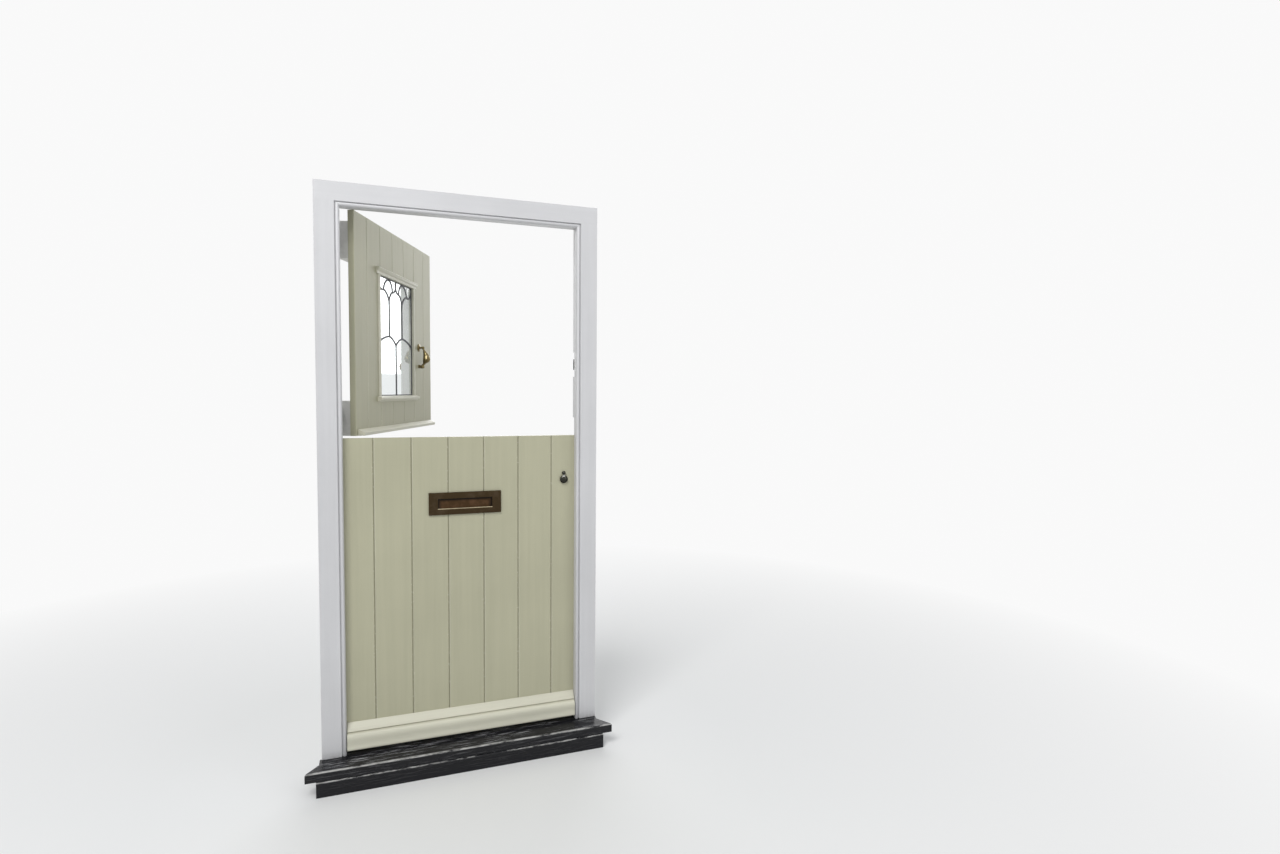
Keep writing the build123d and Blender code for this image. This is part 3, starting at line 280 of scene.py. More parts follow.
class Nodes:
    """A node tree, with short ways to add and combine its nodes."""

    def __init__(self, tree):
        self.tree = tree

    def add(self, kind, inputs=None, **settings):
        """Adds a node. inputs holds its sockets by name or number: outputs to link, or values."""
        made = self.tree.nodes.new(kind)
        for key, value in settings.items():
            setattr(made, key, value)
        for key, value in (inputs or {}).items():
            if isinstance(value, bpy.types.NodeSocket):
                self.tree.links.new(value, made.inputs[key])
            else:
                made.inputs[key].default_value = value
        return made

    def math(self, operation, *values):
        made = self.add("ShaderNodeMath", dict(enumerate(values)), operation=operation)
        return made.outputs[0]

    def product(self, first, *others):
        for other in others:
            first = self.math("MULTIPLY", first, other)
        return first

    def vector_math(self, operation, *values, output="Vector"):
        made = self.add("ShaderNodeVectorMath", dict(enumerate(values)), operation=operation)
        return made.outputs[output]

    def ramp(self, value, low, high, bottom=0.0, top=1.0):
        """value between low and high becomes bottom to top."""
        spans = {"From Min": low, "From Max": high, "To Min": bottom, "To Max": top}
        return self.add("ShaderNodeMapRange", {"Value": value, **spans}).outputs["Result"]

    def spread(self, noise, bottom, top):
        """Noise, which keeps mostly between 0.3 and 0.7, becomes bottom to top."""
        return self.ramp(noise, 0.3, 0.7, bottom, top)

    def in_sight(self):
        """1 for what the camera sees straight, in gloss or through glass."""
        rays = self.add("ShaderNodeLightPath").outputs
        seen = self.math("MAXIMUM", rays["Is Camera Ray"], rays["Is Glossy Ray"])
        return self.math("MAXIMUM", seen, rays["Is Transmission Ray"])


class Finish(Nodes):
    """Node tree of one finish round its principled shader."""

    def __init__(self, name):
        self.material = bpy.data.materials.new(name)
        self.material.use_nodes = True
        super().__init__(self.material.node_tree)
        self.shader = self.tree.nodes["Principled BSDF"]
        self.place = self.add("ShaderNodeTexCoord").outputs["Object"]

    def join(self, output, socket):
        self.tree.links.new(output, self.shader.inputs[socket])

    def set(self, **values):
        for key, value in values.items():
            socket = key.replace("_", " ").title().replace("Ior", "IOR")
            self.shader.inputs[socket].default_value = value

    def paint(self, colour):
        """Makes colour the base colour."""
        self.colour = colour
        self.join(colour, "Base Color")

    def cover(self, mask, colour):
        """Lays colour over the base colour as far as mask says."""
        self.paint(self.mixed(mask, self.colour, colour))

    def mapped(self, scale, turn=0.0):
        """Object coordinates turned back onto a leaf, then stretched."""
        back = {"Vector": self.place, "Rotation": (0, 0, -turn)}
        turned_back = self.add("ShaderNodeMapping", back).outputs[0]
        return self.add("ShaderNodeMapping", {"Vector": turned_back, "Scale": scale}).outputs[0]

    def noise(self, vector, scale=1.0, detail=4.0, roughness=0.55):
        values = {"Vector": vector, "Scale": scale, "Detail": detail, "Roughness": roughness}
        return self.add("ShaderNodeTexNoise", values).outputs["Fac"]

    def scaled(self, colour, factor):
        values = {0: tuple(colour), "Scale": factor}
        return self.add("ShaderNodeVectorMath", values, operation="SCALE").outputs["Vector"]

    def mixed(self, factor, first, second):
        first, second = (
            value if isinstance(value, bpy.types.NodeSocket) else (*value, 1)
            for value in (first, second)
        )
        values = {"Factor": factor, MIX_A: first, MIX_B: second}
        return self.add("ShaderNodeMix", values, data_type="RGBA").outputs[MIX_RESULT]

    def axis(self, vector, name):
        return self.add("ShaderNodeSeparateXYZ", {"Vector": vector}).outputs[name]

    def bump(self, height, strength, distance):
        values = {"Height": height, "Strength": strength, "Distance": distance}
        self.join(self.add("ShaderNodeBump", values).outputs["Normal"], "Normal")


def painted_timber(name, colour, grain, turn=0.0, streak=0.07):
    """Brushed paint over timber whose grain shows faintly. grain is the stretch along X, Y, Z."""
    finish = Finish(name)
    finish.fine = finish.noise(finish.mapped(grain, turn), detail=8, roughness=0.62)
    brushed = finish.noise(finish.mapped([stretch * 5 for stretch in grain], turn), detail=3)
    broad = finish.noise(finish.place, scale=2.6, detail=3)
    tone = finish.product(
        finish.spread(finish.fine, 1 - streak, 1 + streak * 0.6),
        finish.spread(broad, 0.955, 1.035),
    )
    finish.paint(finish.scaled(colour, tone))
    finish.join(finish.spread(brushed, 0.36, 0.50), "Roughness")
    finish.bump(finish.math("ADD", finish.fine, brushed), 0.20, 0.0005)
    finish.set(specular_ior_level=0.45)
    return finish


def marked_vees(finish, leaf, colour, most):
    """Given colour in the vees between the boards: dirt on the lower leaf, a painted highlight on the upper.
    Beside them paint crumbs, and worn paint with a painted highlight on the arris to their right.
    """
    along = finish.axis(finish.mapped((1, 1, 1), leaf.turn), "X")
    start = (Matrix.Rotation(-leaf.turn, 3, "Z") @ leaf.corner).x + FIRST_JOINT
    steps = finish.math("DIVIDE", finish.math("SUBTRACT", along, start), BOARD_PITCH)
    near = finish.math("PINGPONG", steps, 0.5)
    # The vees' colour: dark dirt on the lower leaf, a pale painted highlight on the upper
    vee_mask = finish.ramp(near, 0.004, 0.028, most, 0.0)
    finish.cover(finish.product(vee_mask, finish.ramp(finish.fine, 0.25, 0.75, 0.6, 1.0)), colour)
    specks = finish.noise(finish.mapped((240, 240, 130), leaf.turn), detail=2)
    crumbs = finish.product(
        finish.ramp(specks, 0.63, 0.70), finish.ramp(near, 0.024, 0.050, 0.75, 0.0)
    )
    # Pale paint crumbs beside the vee; on the arris to its right worn paint with a painted highlight
    share = finish.math("FRACT", steps)
    arris = finish.product(
        finish.ramp(share, 0.012, 0.020, 0.0, 1.0),
        finish.ramp(share, 0.024, 0.034, 1.0, 0.0),
        finish.ramp(finish.fine, 0.35, 0.6, 0.15, 0.6),
    )
    finish.cover(finish.math("MAXIMUM", crumbs, arris), CRUMBS_WEAR_AND_HIGHLIGHT)


def soiled_foot(finish, low, high):
    """Splashed dirt that fades upwards from low to high."""
    fade = finish.ramp(finish.axis(finish.place, "Z"), low, high, 1.0, 0.0)
    speckle = finish.noise(finish.place, scale=70, detail=6, roughness=0.7)
    finish.cover(finish.product(fade, fade, finish.ramp(speckle, 0.38, 0.62, 0.1, 0.6)), SPLASHES)


def weathered_black(name, colour, streak, front, top, kept):
    """Black gloss with pale streaks along the grain, most on faces that look up, chipped along an arris
    at Y front, Z top: wear on the sill's nose, a broken painted highlight on the plinth's top arris.
    The more is kept of it there, the fewer chips show."""
    finish = Finish(name)
    fine = finish.noise(finish.mapped((13, 230, 280)), detail=9, roughness=0.72)
    film = finish.noise(finish.mapped((5, 22, 34)), detail=5)
    streaks = finish.product(finish.ramp(fine, 0.52, 0.62), finish.ramp(film, 0.38, 0.60))
    upward = finish.axis(finish.add("ShaderNodeNewGeometry").outputs["Normal"], "Z")
    # Pale streaks along the grain, strongest on faces that look up
    shown = finish.product(streaks, finish.ramp(upward, 0.3, 0.8, 0.22, 1.0), streak)
    finish.paint(finish.mixed(shown, colour, PALE_STREAKS))
    # Chips along the arris: wear on the sill's nose, a broken painted highlight on the plinth's top arris
    nose = finish.ramp(finish.axis(finish.place, "Y"), front, front + 0.005, 1.0, 0.0)
    ledge = finish.ramp(finish.axis(finish.place, "Z"), top - 0.0035, top - 0.0005, 0.0, 1.0)
    chips = finish.noise(finish.mapped((22, 90, 90)), detail=7, roughness=0.7)
    chips_and_highlight = finish.product(nose, ledge, finish.ramp(chips, kept, kept + 0.16))
    finish.cover(chips_and_highlight, WORN_CHIPS_AND_HIGHLIGHT)
    dull = finish.math("ADD", streaks, chips_and_highlight)
    finish.join(finish.ramp(dull, 0, 1, 0.22, 0.60), "Roughness")
    finish.bump(fine, 0.35, 0.0008)
    finish.set(specular_ior_level=0.28)
    return finish


def worn_metal(name, colour, rubbed, roughness, scale, share, metallic=1.0):
    """Patinated metal, rubbed brighter in patches."""
    finish = Finish(name)
    finish.patches = finish.noise(finish.place, scale=scale, detail=6, roughness=0.65)
    pits = finish.noise(finish.place, scale=scale * 9, detail=3)
    finish.paint(finish.mixed(finish.ramp(finish.patches, 0.50, 0.68, 0.0, share), colour, rubbed))
    finish.join(finish.spread(finish.patches, roughness + 0.08, roughness - 0.08), "Roughness")
    finish.bump(pits, 0.12, 0.0002)
    finish.set(metallic=metallic, specular_ior_level=0.25)
    return finish


def painted_lip_highlight(finish, low, high, half):
    """Painted highlight on a lip that faces the sky, between two heights, over half a width each way."""
    height = finish.axis(finish.place, "Z")
    across = finish.math("ABSOLUTE", finish.axis(finish.place, "X"))
    lip_highlight_mask = finish.product(
        finish.ramp(height, low - 0.0008, low, 0.0, 1.0),
        finish.ramp(height, high - 0.0004, high + 0.0004, 1.0, 0.0),
        finish.ramp(across, half, half + 0.001, 1.0, 0.0),
        finish.ramp(finish.patches, 0.35, 0.6, 0.55, 0.95),
    )
    finish.cover(lip_highlight_mask, LIP_HIGHLIGHT)


def painted_recess_shade(finish, top, half):
    """Painted shade under the top and beside the ends of a recess."""
    under = finish.ramp(finish.axis(finish.place, "Z"), top - 0.011, top - 0.003, 0.0, 0.95)
    across = finish.math("ABSOLUTE", finish.axis(finish.place, "X"))
    beside = finish.ramp(across, half - 0.014, half - 0.001, 0.0, 0.9)
    finish.cover(finish.math("MAXIMUM", under, beside), RECESS_SHADE)


def painted_spot_highlight(finish, spot):
    """Painted highlight round a spot, further across than up."""
    away = finish.vector_math("SUBTRACT", finish.place, spot)
    away = finish.vector_math("MULTIPLY", away, (0.55, 0.6, 0.95))
    reach = finish.vector_math("LENGTH", away, output="Value")
    finish.cover(finish.ramp(reach, 0.0020, 0.0042, 0.95, 0.0), DOME_HIGHLIGHT)


def black_iron(name, colour):
    """Forged iron under black lacquer."""
    finish = Finish(name)
    dents = finish.noise(finish.place, scale=90, detail=4)
    grain = finish.noise(finish.place, scale=600, detail=3)
    blotches = finish.noise(finish.place, scale=35, detail=8, roughness=0.75)
    finish.paint(finish.mixed(finish.ramp(blotches, 0.66, 0.8, 0.0, 0.5), colour, RUST))
    finish.join(finish.spread(grain, 0.34, 0.52), "Roughness")
    finish.bump(finish.math("ADD", dents, grain), 0.22, 0.0004)
    finish.set(metallic=0.35)
    return finish


def dull_lead(name, colour):
    """Lead with a paler bloom."""
    finish = Finish(name)
    bloom = finish.noise(finish.place, scale=110, detail=6, roughness=0.7)
    finish.paint(finish.mixed(finish.ramp(bloom, 0.45, 0.7, 0.0, 0.6), colour, LEAD_BLOOM))
    finish.join(finish.spread(bloom, 0.42, 0.62), "Roughness")
    finish.bump(bloom, 0.25, 0.0002)
    finish.set(metallic=0.7)
    return finish


def old_glass(name):
    """Thin drawn glass with a slow wave in it."""
    finish = Finish(name)
    finish.bump(finish.noise(finish.mapped((9, 9, 4)), detail=2), 0.18, 0.002)
    finish.set(base_color=(*GLASS_TINT, 1), roughness=0.02, ior=1.45, transmission_weight=1.0)
    return finish


def drawn_steel(name):
    """Bright steel with fine upright draw lines."""
    finish = Finish(name)
    lines = finish.noise(finish.mapped((300, 300, 12)), detail=3)
    finish.join(finish.spread(lines, 0.26, 0.44), "Roughness")
    finish.bump(lines, 0.08, 0.0001)
    finish.set(base_color=(*BRIGHT_STEEL, 1), metallic=1.0)
    return finish


def leaf_finishes(key, leaf, paint, vee_colour, vee_share):
    """The painted finishes of one leaf by name, with their grain along its timbers."""
    boards = painted_timber(
        f"sage_boards_{key}", paint.board, UPRIGHT_GRAIN, leaf.turn, streak=0.045
    )
    marked_vees(boards, leaf, vee_colour, vee_share)
    return {
        f"board_{key}": boards,
        f"moulding_{key}": painted_timber(
            f"stone_moulding_{key}", paint.weather, LEVEL_GRAIN, leaf.turn
        ),
        f"inner_{key}": painted_timber(f"white_ledge_{key}", paint.inner, LEVEL_GRAIN, leaf.turn),
    }


def make_finishes(paint, metal):
    """Every finish of the door by name."""
    made = leaf_finishes("lower", LOWER, paint, VEE_DIRT, 0.55)
    # The upper leaf's vees get a pale painted highlight instead of dirt
    made.update(leaf_finishes("upper", UPPER, paint, VEE_PAINTED_HIGHLIGHT, 0.65))
    made["upright_upper"] = painted_timber("white_upright", paint.inner, UPRIGHT_GRAIN, UPPER.turn)
    made["jamb"] = painted_timber("white_jamb", paint.frame, UPRIGHT_GRAIN, streak=0.035)
    soiled_foot(made["jamb"], 0.088, 0.125)
    made["head"] = painted_timber("white_head", paint.frame, LEVEL_GRAIN, streak=0.035)
    made["sill"] = weathered_black("black_sill", paint.sill, 0.72, -0.0625, 0.0820, 0.38)
    # The plinth's chips give its top arris a broken painted highlight
    made["plinth"] = weathered_black("black_plinth", paint.sill, 0.16, -0.0600, 0.0495, 0.47)
    lip_top = LOWER.corner.z + LETTER_PLATE[1] - APERTURE[1] / 2
    made["bronze"] = worn_metal("brown_bronze", metal.bronze, RUBBED_BRONZE, 0.46, 22, 0.3, 0.6)
    # Painted highlight along the aperture's lower lip
    painted_lip_highlight(made["bronze"], lip_top - 0.0018, lip_top + 0.0002, APERTURE[0] / 2)
    made["flap"] = worn_metal("flap_bronze", metal.flap, RUBBED_FLAP, 0.44, 22, 0.4, 0.6)
    # Painted shade in the flap's recess, under the aperture's top and at its ends
    painted_recess_shade(made["flap"], lip_top + APERTURE[1], APERTURE[0] / 2)
    made["pewter"] = worn_metal("dark_pewter", metal.pewter, RUBBED_PEWTER, 0.24, 70, 0.22)
    # Painted highlight on the top of the keyhole cover's dome
    painted_spot_highlight(made["pewter"], LOWER.matrix @ Vector((KEYHOLE[0], -0.0080, KEYHOLE[1] + 0.0132)))
    made["brass"] = worn_metal("aged_brass", metal.brass, RUBBED_BRASS, 0.27, 45, 0.8)
    made["iron"] = black_iron("black_iron", metal.iron)
    made["lead"] = dull_lead("dull_lead", metal.lead)
    made["glass"] = old_glass("old_glass")
    made["steel"] = drawn_steel("drawn_steel")
    return {key: finish.material for key, finish in made.items()}


FINISHES = {}


def coat(piece, finish):
    """Gives a piece one of the finishes by name."""
    piece.data.materials.clear()
    piece.data.materials.append(FINISHES[finish])


# Modelling helpers

def clear_selection():
    if bpy.context.object and bpy.context.object.mode != "OBJECT":
        bpy.ops.object.mode_set(mode="OBJECT")
    bpy.ops.object.select_all(action="DESELECT")


def only(piece):
    clear_selection()
    piece.select_set(True)
    bpy.context.view_layer.objects.active = piece


def edit_all(piece):
    only(piece)
    bpy.ops.object.mode_set(mode="EDIT")
    bpy.ops.mesh.select_all(action="SELECT")


def settle(piece, matrix):
    """Puts a finished piece in place, with its place in its mesh."""
    only(piece)
    piece.matrix_world = matrix @ piece.matrix_world
    bpy.ops.object.transform_apply(location=True, rotation=True, scale=True)


def finish_piece(piece, matrix, body, finish, smooth=40):
    """Smooths a piece, puts it in place, coats it and joins it to its body."""
    only(piece)
    bpy.ops.object.shade_smooth_by_angle(angle=radians(smooth))
    settle(piece, matrix)
    coat(piece, finish)
    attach(piece, body)
    return piece


def cut(piece, cutter):
    """Takes the cutter's shape out of a piece."""
    only(piece)
    boolean = piece.modifiers.new("Cut", "BOOLEAN")
    boolean.object = cutter
    boolean.operation = "DIFFERENCE"
    boolean.solver = "EXACT"
    bpy.ops.object.modifier_apply(modifier=boolean.name)
    bpy.data.objects.remove(cutter)


def ease_edges(piece, offset, segments):
    """Rounds every edge of a piece."""
    edit_all(piece)
    bpy.ops.mesh.bevel(offset=offset, segments=segments, profile=0.6)
    bpy.ops.object.mode_set(mode="OBJECT")


def turned(name, rings, segments=32):
    """A lathe-turned piece along Z. rings holds (height, radius) or (height, radius, sideways)."""
    clear_selection()
    before = (*rings[0], 0)[:3]
    height, radius = before[:2]
    bpy.ops.mesh.primitive_circle_add(
        vertices=segments, radius=radius, fill_type="NGON", location=(0, before[2], height)
    )
    piece = bpy.context.object
    piece.name = name
    bpy.ops.object.transform_apply(location=True, rotation=True, scale=True)
    bpy.ops.object.mode_set(mode="EDIT")
    bpy.ops.mesh.select_all(action="SELECT")
    for ring in rings[1:]:
        height, radius, sideways = (*ring, 0)[:3]
        step = (0, sideways - before[2], height - before[0])
        bpy.ops.mesh.extrude_region_move(TRANSFORM_OT_translate={"value": step})
        size = radius / before[1]
        bpy.ops.transform.resize(value=(size, size, 1), center_override=(0, sideways, height))
        before = (height, radius, sideways)
    bpy.ops.mesh.select_all(action="SELECT")
    bpy.ops.mesh.normals_make_consistent(inside=False)
    bpy.ops.object.mode_set(mode="OBJECT")
    return piece


def slab(name, size, centre=(0, 0, 0), bevel=0.0, segments=2):
    """A block of the given size with its arrises rounded."""
    clear_selection()
    bpy.ops.mesh.primitive_cube_add(size=1, location=centre, scale=size)
    piece = bpy.context.object
    piece.name = name
    bpy.ops.object.transform_apply(location=True, rotation=True, scale=True)
    if bevel:
        ease_edges(piece, bevel, segments)
    return piece


def copy_of(piece, name):
    """A copy with a mesh of its own."""
    made = piece.copy()
    made.data = piece.data.copy()
    made.name = name
    bpy.context.scene.collection.objects.link(made)
    return made


def join_pieces(pieces, name):
    only(pieces[0])
    for piece in pieces[1:]:
        piece.select_set(True)
    bpy.ops.object.join()
    bpy.context.object.name = name
    return bpy.context.object


def slotted_head(radius, height):
    """A raised head with a driver slot across it."""
    rings = (
        (0, radius),
        (height * 0.35, radius),
        (height * 0.8, radius * 0.72),
        (height, radius * 0.3),
    )
    head = turned("screw_head", rings, 20)
    cut(head, slab("slot_cutter", (radius * 2.4, radius * 0.26, height), (0, 0, height * 1.02)))
    return head


def screw_group(name, places, radius, height, body, finish, slot):
    """One screw head copied to every place with its slot turned on, then joined as one piece."""
    return scatter(slotted_head(radius, height), name, places, body, finish, SLOT_TURN)


def scatter(model, name, places, body, finish, turn=0.0):
    """Copies one modelled piece to every place and joins the copies."""
    made = []
    for number, place in enumerate(places):
        piece = copy_of(model, name)
        settle(piece, place @ Matrix.Rotation(turn * number, 4, "Z"))
        made.append(piece)
    bpy.data.objects.remove(model)
    joined = join_pieces(made, name)
    return finish_piece(joined, Matrix.Identity(4), body, finish, smooth=35)


def ring_of(name, radius, thickness, steps=48, sides=12):
    """A ring round Z: a small circle spun once round."""
    clear_selection()
    bpy.ops.mesh.primitive_circle_add(
        vertices=sides, radius=thickness, rotation=(pi / 2, 0, 0), location=(radius, 0, 0)
    )
    piece = bpy.context.object
    piece.name = name
    bpy.ops.object.transform_apply(location=True, rotation=True, scale=True)
    edit_all(piece)
    bpy.ops.mesh.spin(steps=steps, angle=2 * pi, center=(0, 0, 0), axis=(0, 0, 1))
    bpy.ops.mesh.select_all(action="SELECT")
    bpy.ops.mesh.remove_doubles(threshold=1e-6)
    bpy.ops.mesh.normals_make_consistent(inside=False)
    bpy.ops.object.mode_set(mode="OBJECT")
    return piece


def open_frame(name, outer, inner, thickness, bevel):
    """A rectangular frame lying on XY, with its arrises eased."""
    piece = slab(name, (*outer, thickness), (0, 0, thickness / 2))
    cut(piece, slab("frame_hole", (*inner, 3 * thickness), (0, 0, thickness / 2)))
    ease_edges(piece, bevel, 3)
    return piece


def select_where(piece, test):
    """In edit mode, selects the vertices for which test is true."""
    bpy.ops.mesh.select_mode(type="VERT")
    bpy.ops.mesh.select_all(action="DESELECT")
    bpy.ops.object.mode_set(mode="OBJECT")
    for vertex in piece.data.vertices:
        vertex.select = test(vertex.co)
    bpy.ops.object.mode_set(mode="EDIT")


def moulded_length(name, length, profile):
    """A moulding along X with its back on Y=0. profile holds (height, reach) from foot to head."""
    blank, level = 0.01, 0.00005
    foot, head = profile[0][0], profile[-1][0]
    piece = slab(name, (length, blank, head - foot), (0, -blank / 2, (foot + head) / 2))
    edit_all(piece)
    for height, _ in profile[1:-1]:
        bpy.ops.mesh.select_all(action="SELECT")
        bpy.ops.mesh.bisect(plane_co=(0, 0, height), plane_no=(0, 0, 1))
    for height, reach in profile:
        select_where(piece, lambda spot: spot.y < -blank / 2 and abs(spot.z - height) < level)
        bpy.ops.transform.translate(value=(0, blank - reach, 0))
    bpy.ops.object.mode_set(mode="OBJECT")
    return piece


def hinge_heights():
    """Heights of the four hinges, from the lowest up."""
    heights = [LOWER.corner.z + v for v in LOWER_BANDS]
    return heights + [UPPER.corner.z + v for v in UPPER_BANDS]


# Operators

class STABLEDOOR_OT_finishes(bpy.types.Operator):
    """Paint the timber, and give the metal, lead and glass their finishes"""

    bl_idname = "stabledoor.finishes"
    bl_label = "Finishes"

    def execute(self, context):
        paint = context.scene.stable_paint
        FINISHES.update(make_finishes(paint, context.scene.stable_metal))
        upper = set(frame["record"]["behaviour"]["bodies"]["upper_leaf"])
        for part in frame["record"]["subparts"]:
            node, slot = part["node"], part["material_slot"]
            finish = NODE_FINISHES.get(node, SLOT_FINISHES[slot])
            if finish in ("board", "moulding", "inner"):
                finish += "_upper" if node in upper else "_lower"
            coat(frame["nodes"][node], finish)
            # A bevel creases the long triangles of the boards and of the lower leaf's top ledge
            if slot.endswith("paint") and "_board_" not in node and node != "lower_top_ledge":
                self.round_arrises(frame["nodes"][node], paint.arris)
        return {"FINISHED"}

    def round_arrises(self, piece, width):
        """Paint rounds every timber edge a little."""
        weld = piece.modifiers.new("Weld", "WELD")
        weld.merge_threshold = 0.00002
        bevel = piece.modifiers.new("Arris", "BEVEL")
        bevel.width = width
        bevel.segments = 2
        bevel.limit_method = "ANGLE"
        bevel.angle_limit = radians(28)
        bevel.harden_normals = True


class STABLEDOOR_OT_knocker(bpy.types.Operator):
    """Turn the knocker's rose, its swelling arm and its stud"""

    bl_idname = "stabledoor.knocker"
    bl_label = "Knocker"

    def execute(self, context):
        segments = context.scene.stable_metal.segments
        self.rose(segments)
        self.arm(segments)
        rings = (
            (0, 0.0080), (0.0034, 0.0080), (0.0042, 0.0073), (0.0044, 0.0060), (0.0050, 0.0050),
            (0.0050, 0.0025),
        )
        stud = turned("knocker_stud", rings, segments)
        finish_piece(stud, UPPER.spot(STRIKE[0], 0, STRIKE[1]), "upper_leaf", "brass")
        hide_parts("knocker_strike")
        return {"FINISHED"}

    def rose(self, segments):
        """Rose with a bead and a cove, two cheeks on it and the pin through them."""
        rings = (
            (0, 0.0170), (0.0012, 0.0170), (0.0021, 0.0163), (0.0027, 0.0148), (0.0024, 0.0134),
            (0.0029, 0.0124), (0.0043, 0.0112), (0.0050, 0.0092), (0.0053, 0.0060),
            (0.0054, 0.0020),
        )
        parts = [turned("knocker_rose_turned", rings, segments)]
        for offset in (-0.0046, 0.0046):
            parts.append(slab("cheek", (0.0026, 0.0088, 0.0185), (offset, 0, 0.01375), 0.0011, 3))
        pin_rings = (
            (-0.0068, 0.0014), (-0.0064, 0.0027), (-0.0059, 0.0032), (-0.0058, 0.0024),
            (0.0058, 0.0024), (0.0059, 0.0032), (0.0064, 0.0027), (0.0068, 0.0014),
        )
        pin = turned("knocker_pin", pin_rings, 20)
        settle(pin, Matrix.Translation((0, 0, PIN_REACH)) @ Matrix.Rotation(pi / 2, 4, "Y"))
        parts.append(pin)
        piece = join_pieces(parts, "knocker_rose_turned")
        finish_piece(piece, UPPER.spot(KNOCKER[0], 0, KNOCKER[1]), "upper_leaf", "brass")
        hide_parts("knocker_rose")

    def arm(self, segments):
        """Eye on the pin, a beaded neck, an urn that stands proud and a foot over the stud."""
        rings = (
            (0.3345, 0.0034, -0.0200), (0.3330, 0.0050, -0.0206), (0.3312, 0.0052, -0.0213),
            (0.3298, 0.0037, -0.0222), (0.3285, 0.0044, -0.0236), (0.3250, 0.0062, -0.0256),
            (0.3200, 0.0082, -0.0280), (0.3140, 0.0101, -0.0304), (0.3070, 0.0119, -0.0325),
            (0.2995, 0.0136, -0.0338), (0.2930, 0.0147, -0.0342), (0.2917, 0.0155, -0.0342),
            (0.2893, 0.0156, -0.0341), (0.2880, 0.0148, -0.0338), (0.2850, 0.0145, -0.0333),
            (0.2805, 0.0134, -0.0320), (0.2765, 0.0113, -0.0299), (0.2733, 0.0087, -0.0273),
            (0.2710, 0.0064, -0.0248), (0.2697, 0.0056, -0.0232), (0.2688, 0.0074, -0.0222),
            (0.2674, 0.0078, -0.0209), (0.2660, 0.0067, -0.0197), (0.2652, 0.0055, -0.0188),
            (0.2635, 0.0063, -0.0172), (0.2595, 0.0082, -0.0160), (0.2555, 0.0090, -0.0154),
            (0.2525, 0.0084, -0.0151), (0.2508, 0.0062, -0.0150), (0.2503, 0.0020, -0.0150),
        )
        body = turned("knocker_urn", rings, segments)
        settle(body, UPPER.matrix @ Matrix.Translation((KNOCKER[0], 0, 0)))
        eye = ring_of("knocker_eye", 0.0043, 0.0017)
        only(eye)
        eye.scale = (1, 1, 1.6)
        bpy.ops.object.transform_apply(scale=True)
        pin_place = UPPER.matrix @ Matrix.Translation((KNOCKER[0], -PIN_REACH, KNOCKER[1]))
        settle(eye, pin_place @ Matrix.Rotation(pi / 2, 4, "Y"))
        nub_rings = ((0, 0.0052), (0.0008, 0.0060), (0.0060, 0.0060), (0.0110, 0.0050))
        nub = turned("knocker_nub", nub_rings, segments)
        settle(nub, UPPER.spot(STRIKE[0], -NUB_REACH, STRIKE[1]))
        piece = join_pieces([body, eye, nub], "knocker_arm_turned")
        finish_piece(piece, Matrix.Identity(4), "knocker_arm", "brass")
        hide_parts("knocker_arm")


class STABLEDOOR_OT_knob(bpy.types.Operator):
    """Turn the latch knob with its rose"""

    bl_idname = "stabledoor.knob"
    bl_label = "Latch knob"

    def execute(self, context):
        rings = (
            (-0.0110, 0.0040), (0.0000, 0.0040), (0.0001, 0.0118), (0.0010, 0.0124),
            (0.0022, 0.0121), (0.0030, 0.0102), (0.0040, 0.0076), (0.0052, 0.0063),
            (0.0080, 0.0058), (0.0108, 0.0063), (0.0122, 0.0084), (0.0126, 0.0102),
            (0.0136, 0.0110), (0.0146, 0.0106), (0.0156, 0.0128), (0.0180, 0.0163),
            (0.0208, 0.0188), (0.0238, 0.0200), (0.0262, 0.0198), (0.0292, 0.0182),
            (0.0320, 0.0152), (0.0342, 0.0112), (0.0355, 0.0066), (0.0360, 0.0020),
        )
        piece = turned("latch_knob_turned", rings, context.scene.stable_metal.segments)
        place = UPPER.spot(LATCH_KNOB[0], CASE_FACE + KNOB_CLEARANCE, LATCH_KNOB[1], "in")
        finish_piece(piece, place, "latch_knob", "brass")
        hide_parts("latch_knob")
        return {"FINISHED"}


class STABLEDOOR_OT_keyhole(bpy.types.Operator):
    """Dome the keyhole's drop cover and turn the boss that it hangs from"""

    bl_idname = "stabledoor.keyhole"
    bl_label = "Keyhole cover"

    def execute(self, context):
        segments = context.scene.stable_metal.segments
        rings = (
            (-0.0004, 0.0146), (0.0002, 0.0150), (0.0012, 0.0148), (0.0026, 0.0138),
            (0.0044, 0.0118), (0.0058, 0.0094), (0.0068, 0.0064), (0.0073, 0.0034),
            (0.0074, 0.0012),
        )
        dome = turned("keyhole_dome", rings, segments)
        place = LOWER.spot(KEYHOLE[0], COVER_FACE, KEYHOLE[1])
        finish_piece(dome, place, "keyhole_cover", "pewter")
        rings = (
            (-0.0006, 0.0052), (0.0004, 0.0062), (0.0020, 0.0062), (0.0034, 0.0052),
            (0.0044, 0.0034), (0.0047, 0.0012),
        )
        boss = turned("keyhole_boss", rings, segments)
        place = LOWER.spot(COVER_PIVOT[0], BOSS_FACE, COVER_PIVOT[1])
        finish_piece(boss, place, "lower_leaf", "pewter")
        return {"FINISHED"}


class STABLEDOOR_OT_letter_plate(bpy.types.Operator):
    """Cut the letter plate with its aperture and ease its arrises"""

    bl_idname = "stabledoor.letter_plate"
    bl_label = "Letter plate"

    def execute(self, context):
        plate = open_frame("letter_plate_cut", LETTER_SIZE, APERTURE, LETTER_THICKNESS, 0.0007)
        place = LOWER.spot(LETTER_PLATE[0], 0, LETTER_PLATE[1])
        finish_piece(plate, place, "lower_leaf", "bronze")
        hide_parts("letter_plate")
        return {"FINISHED"}


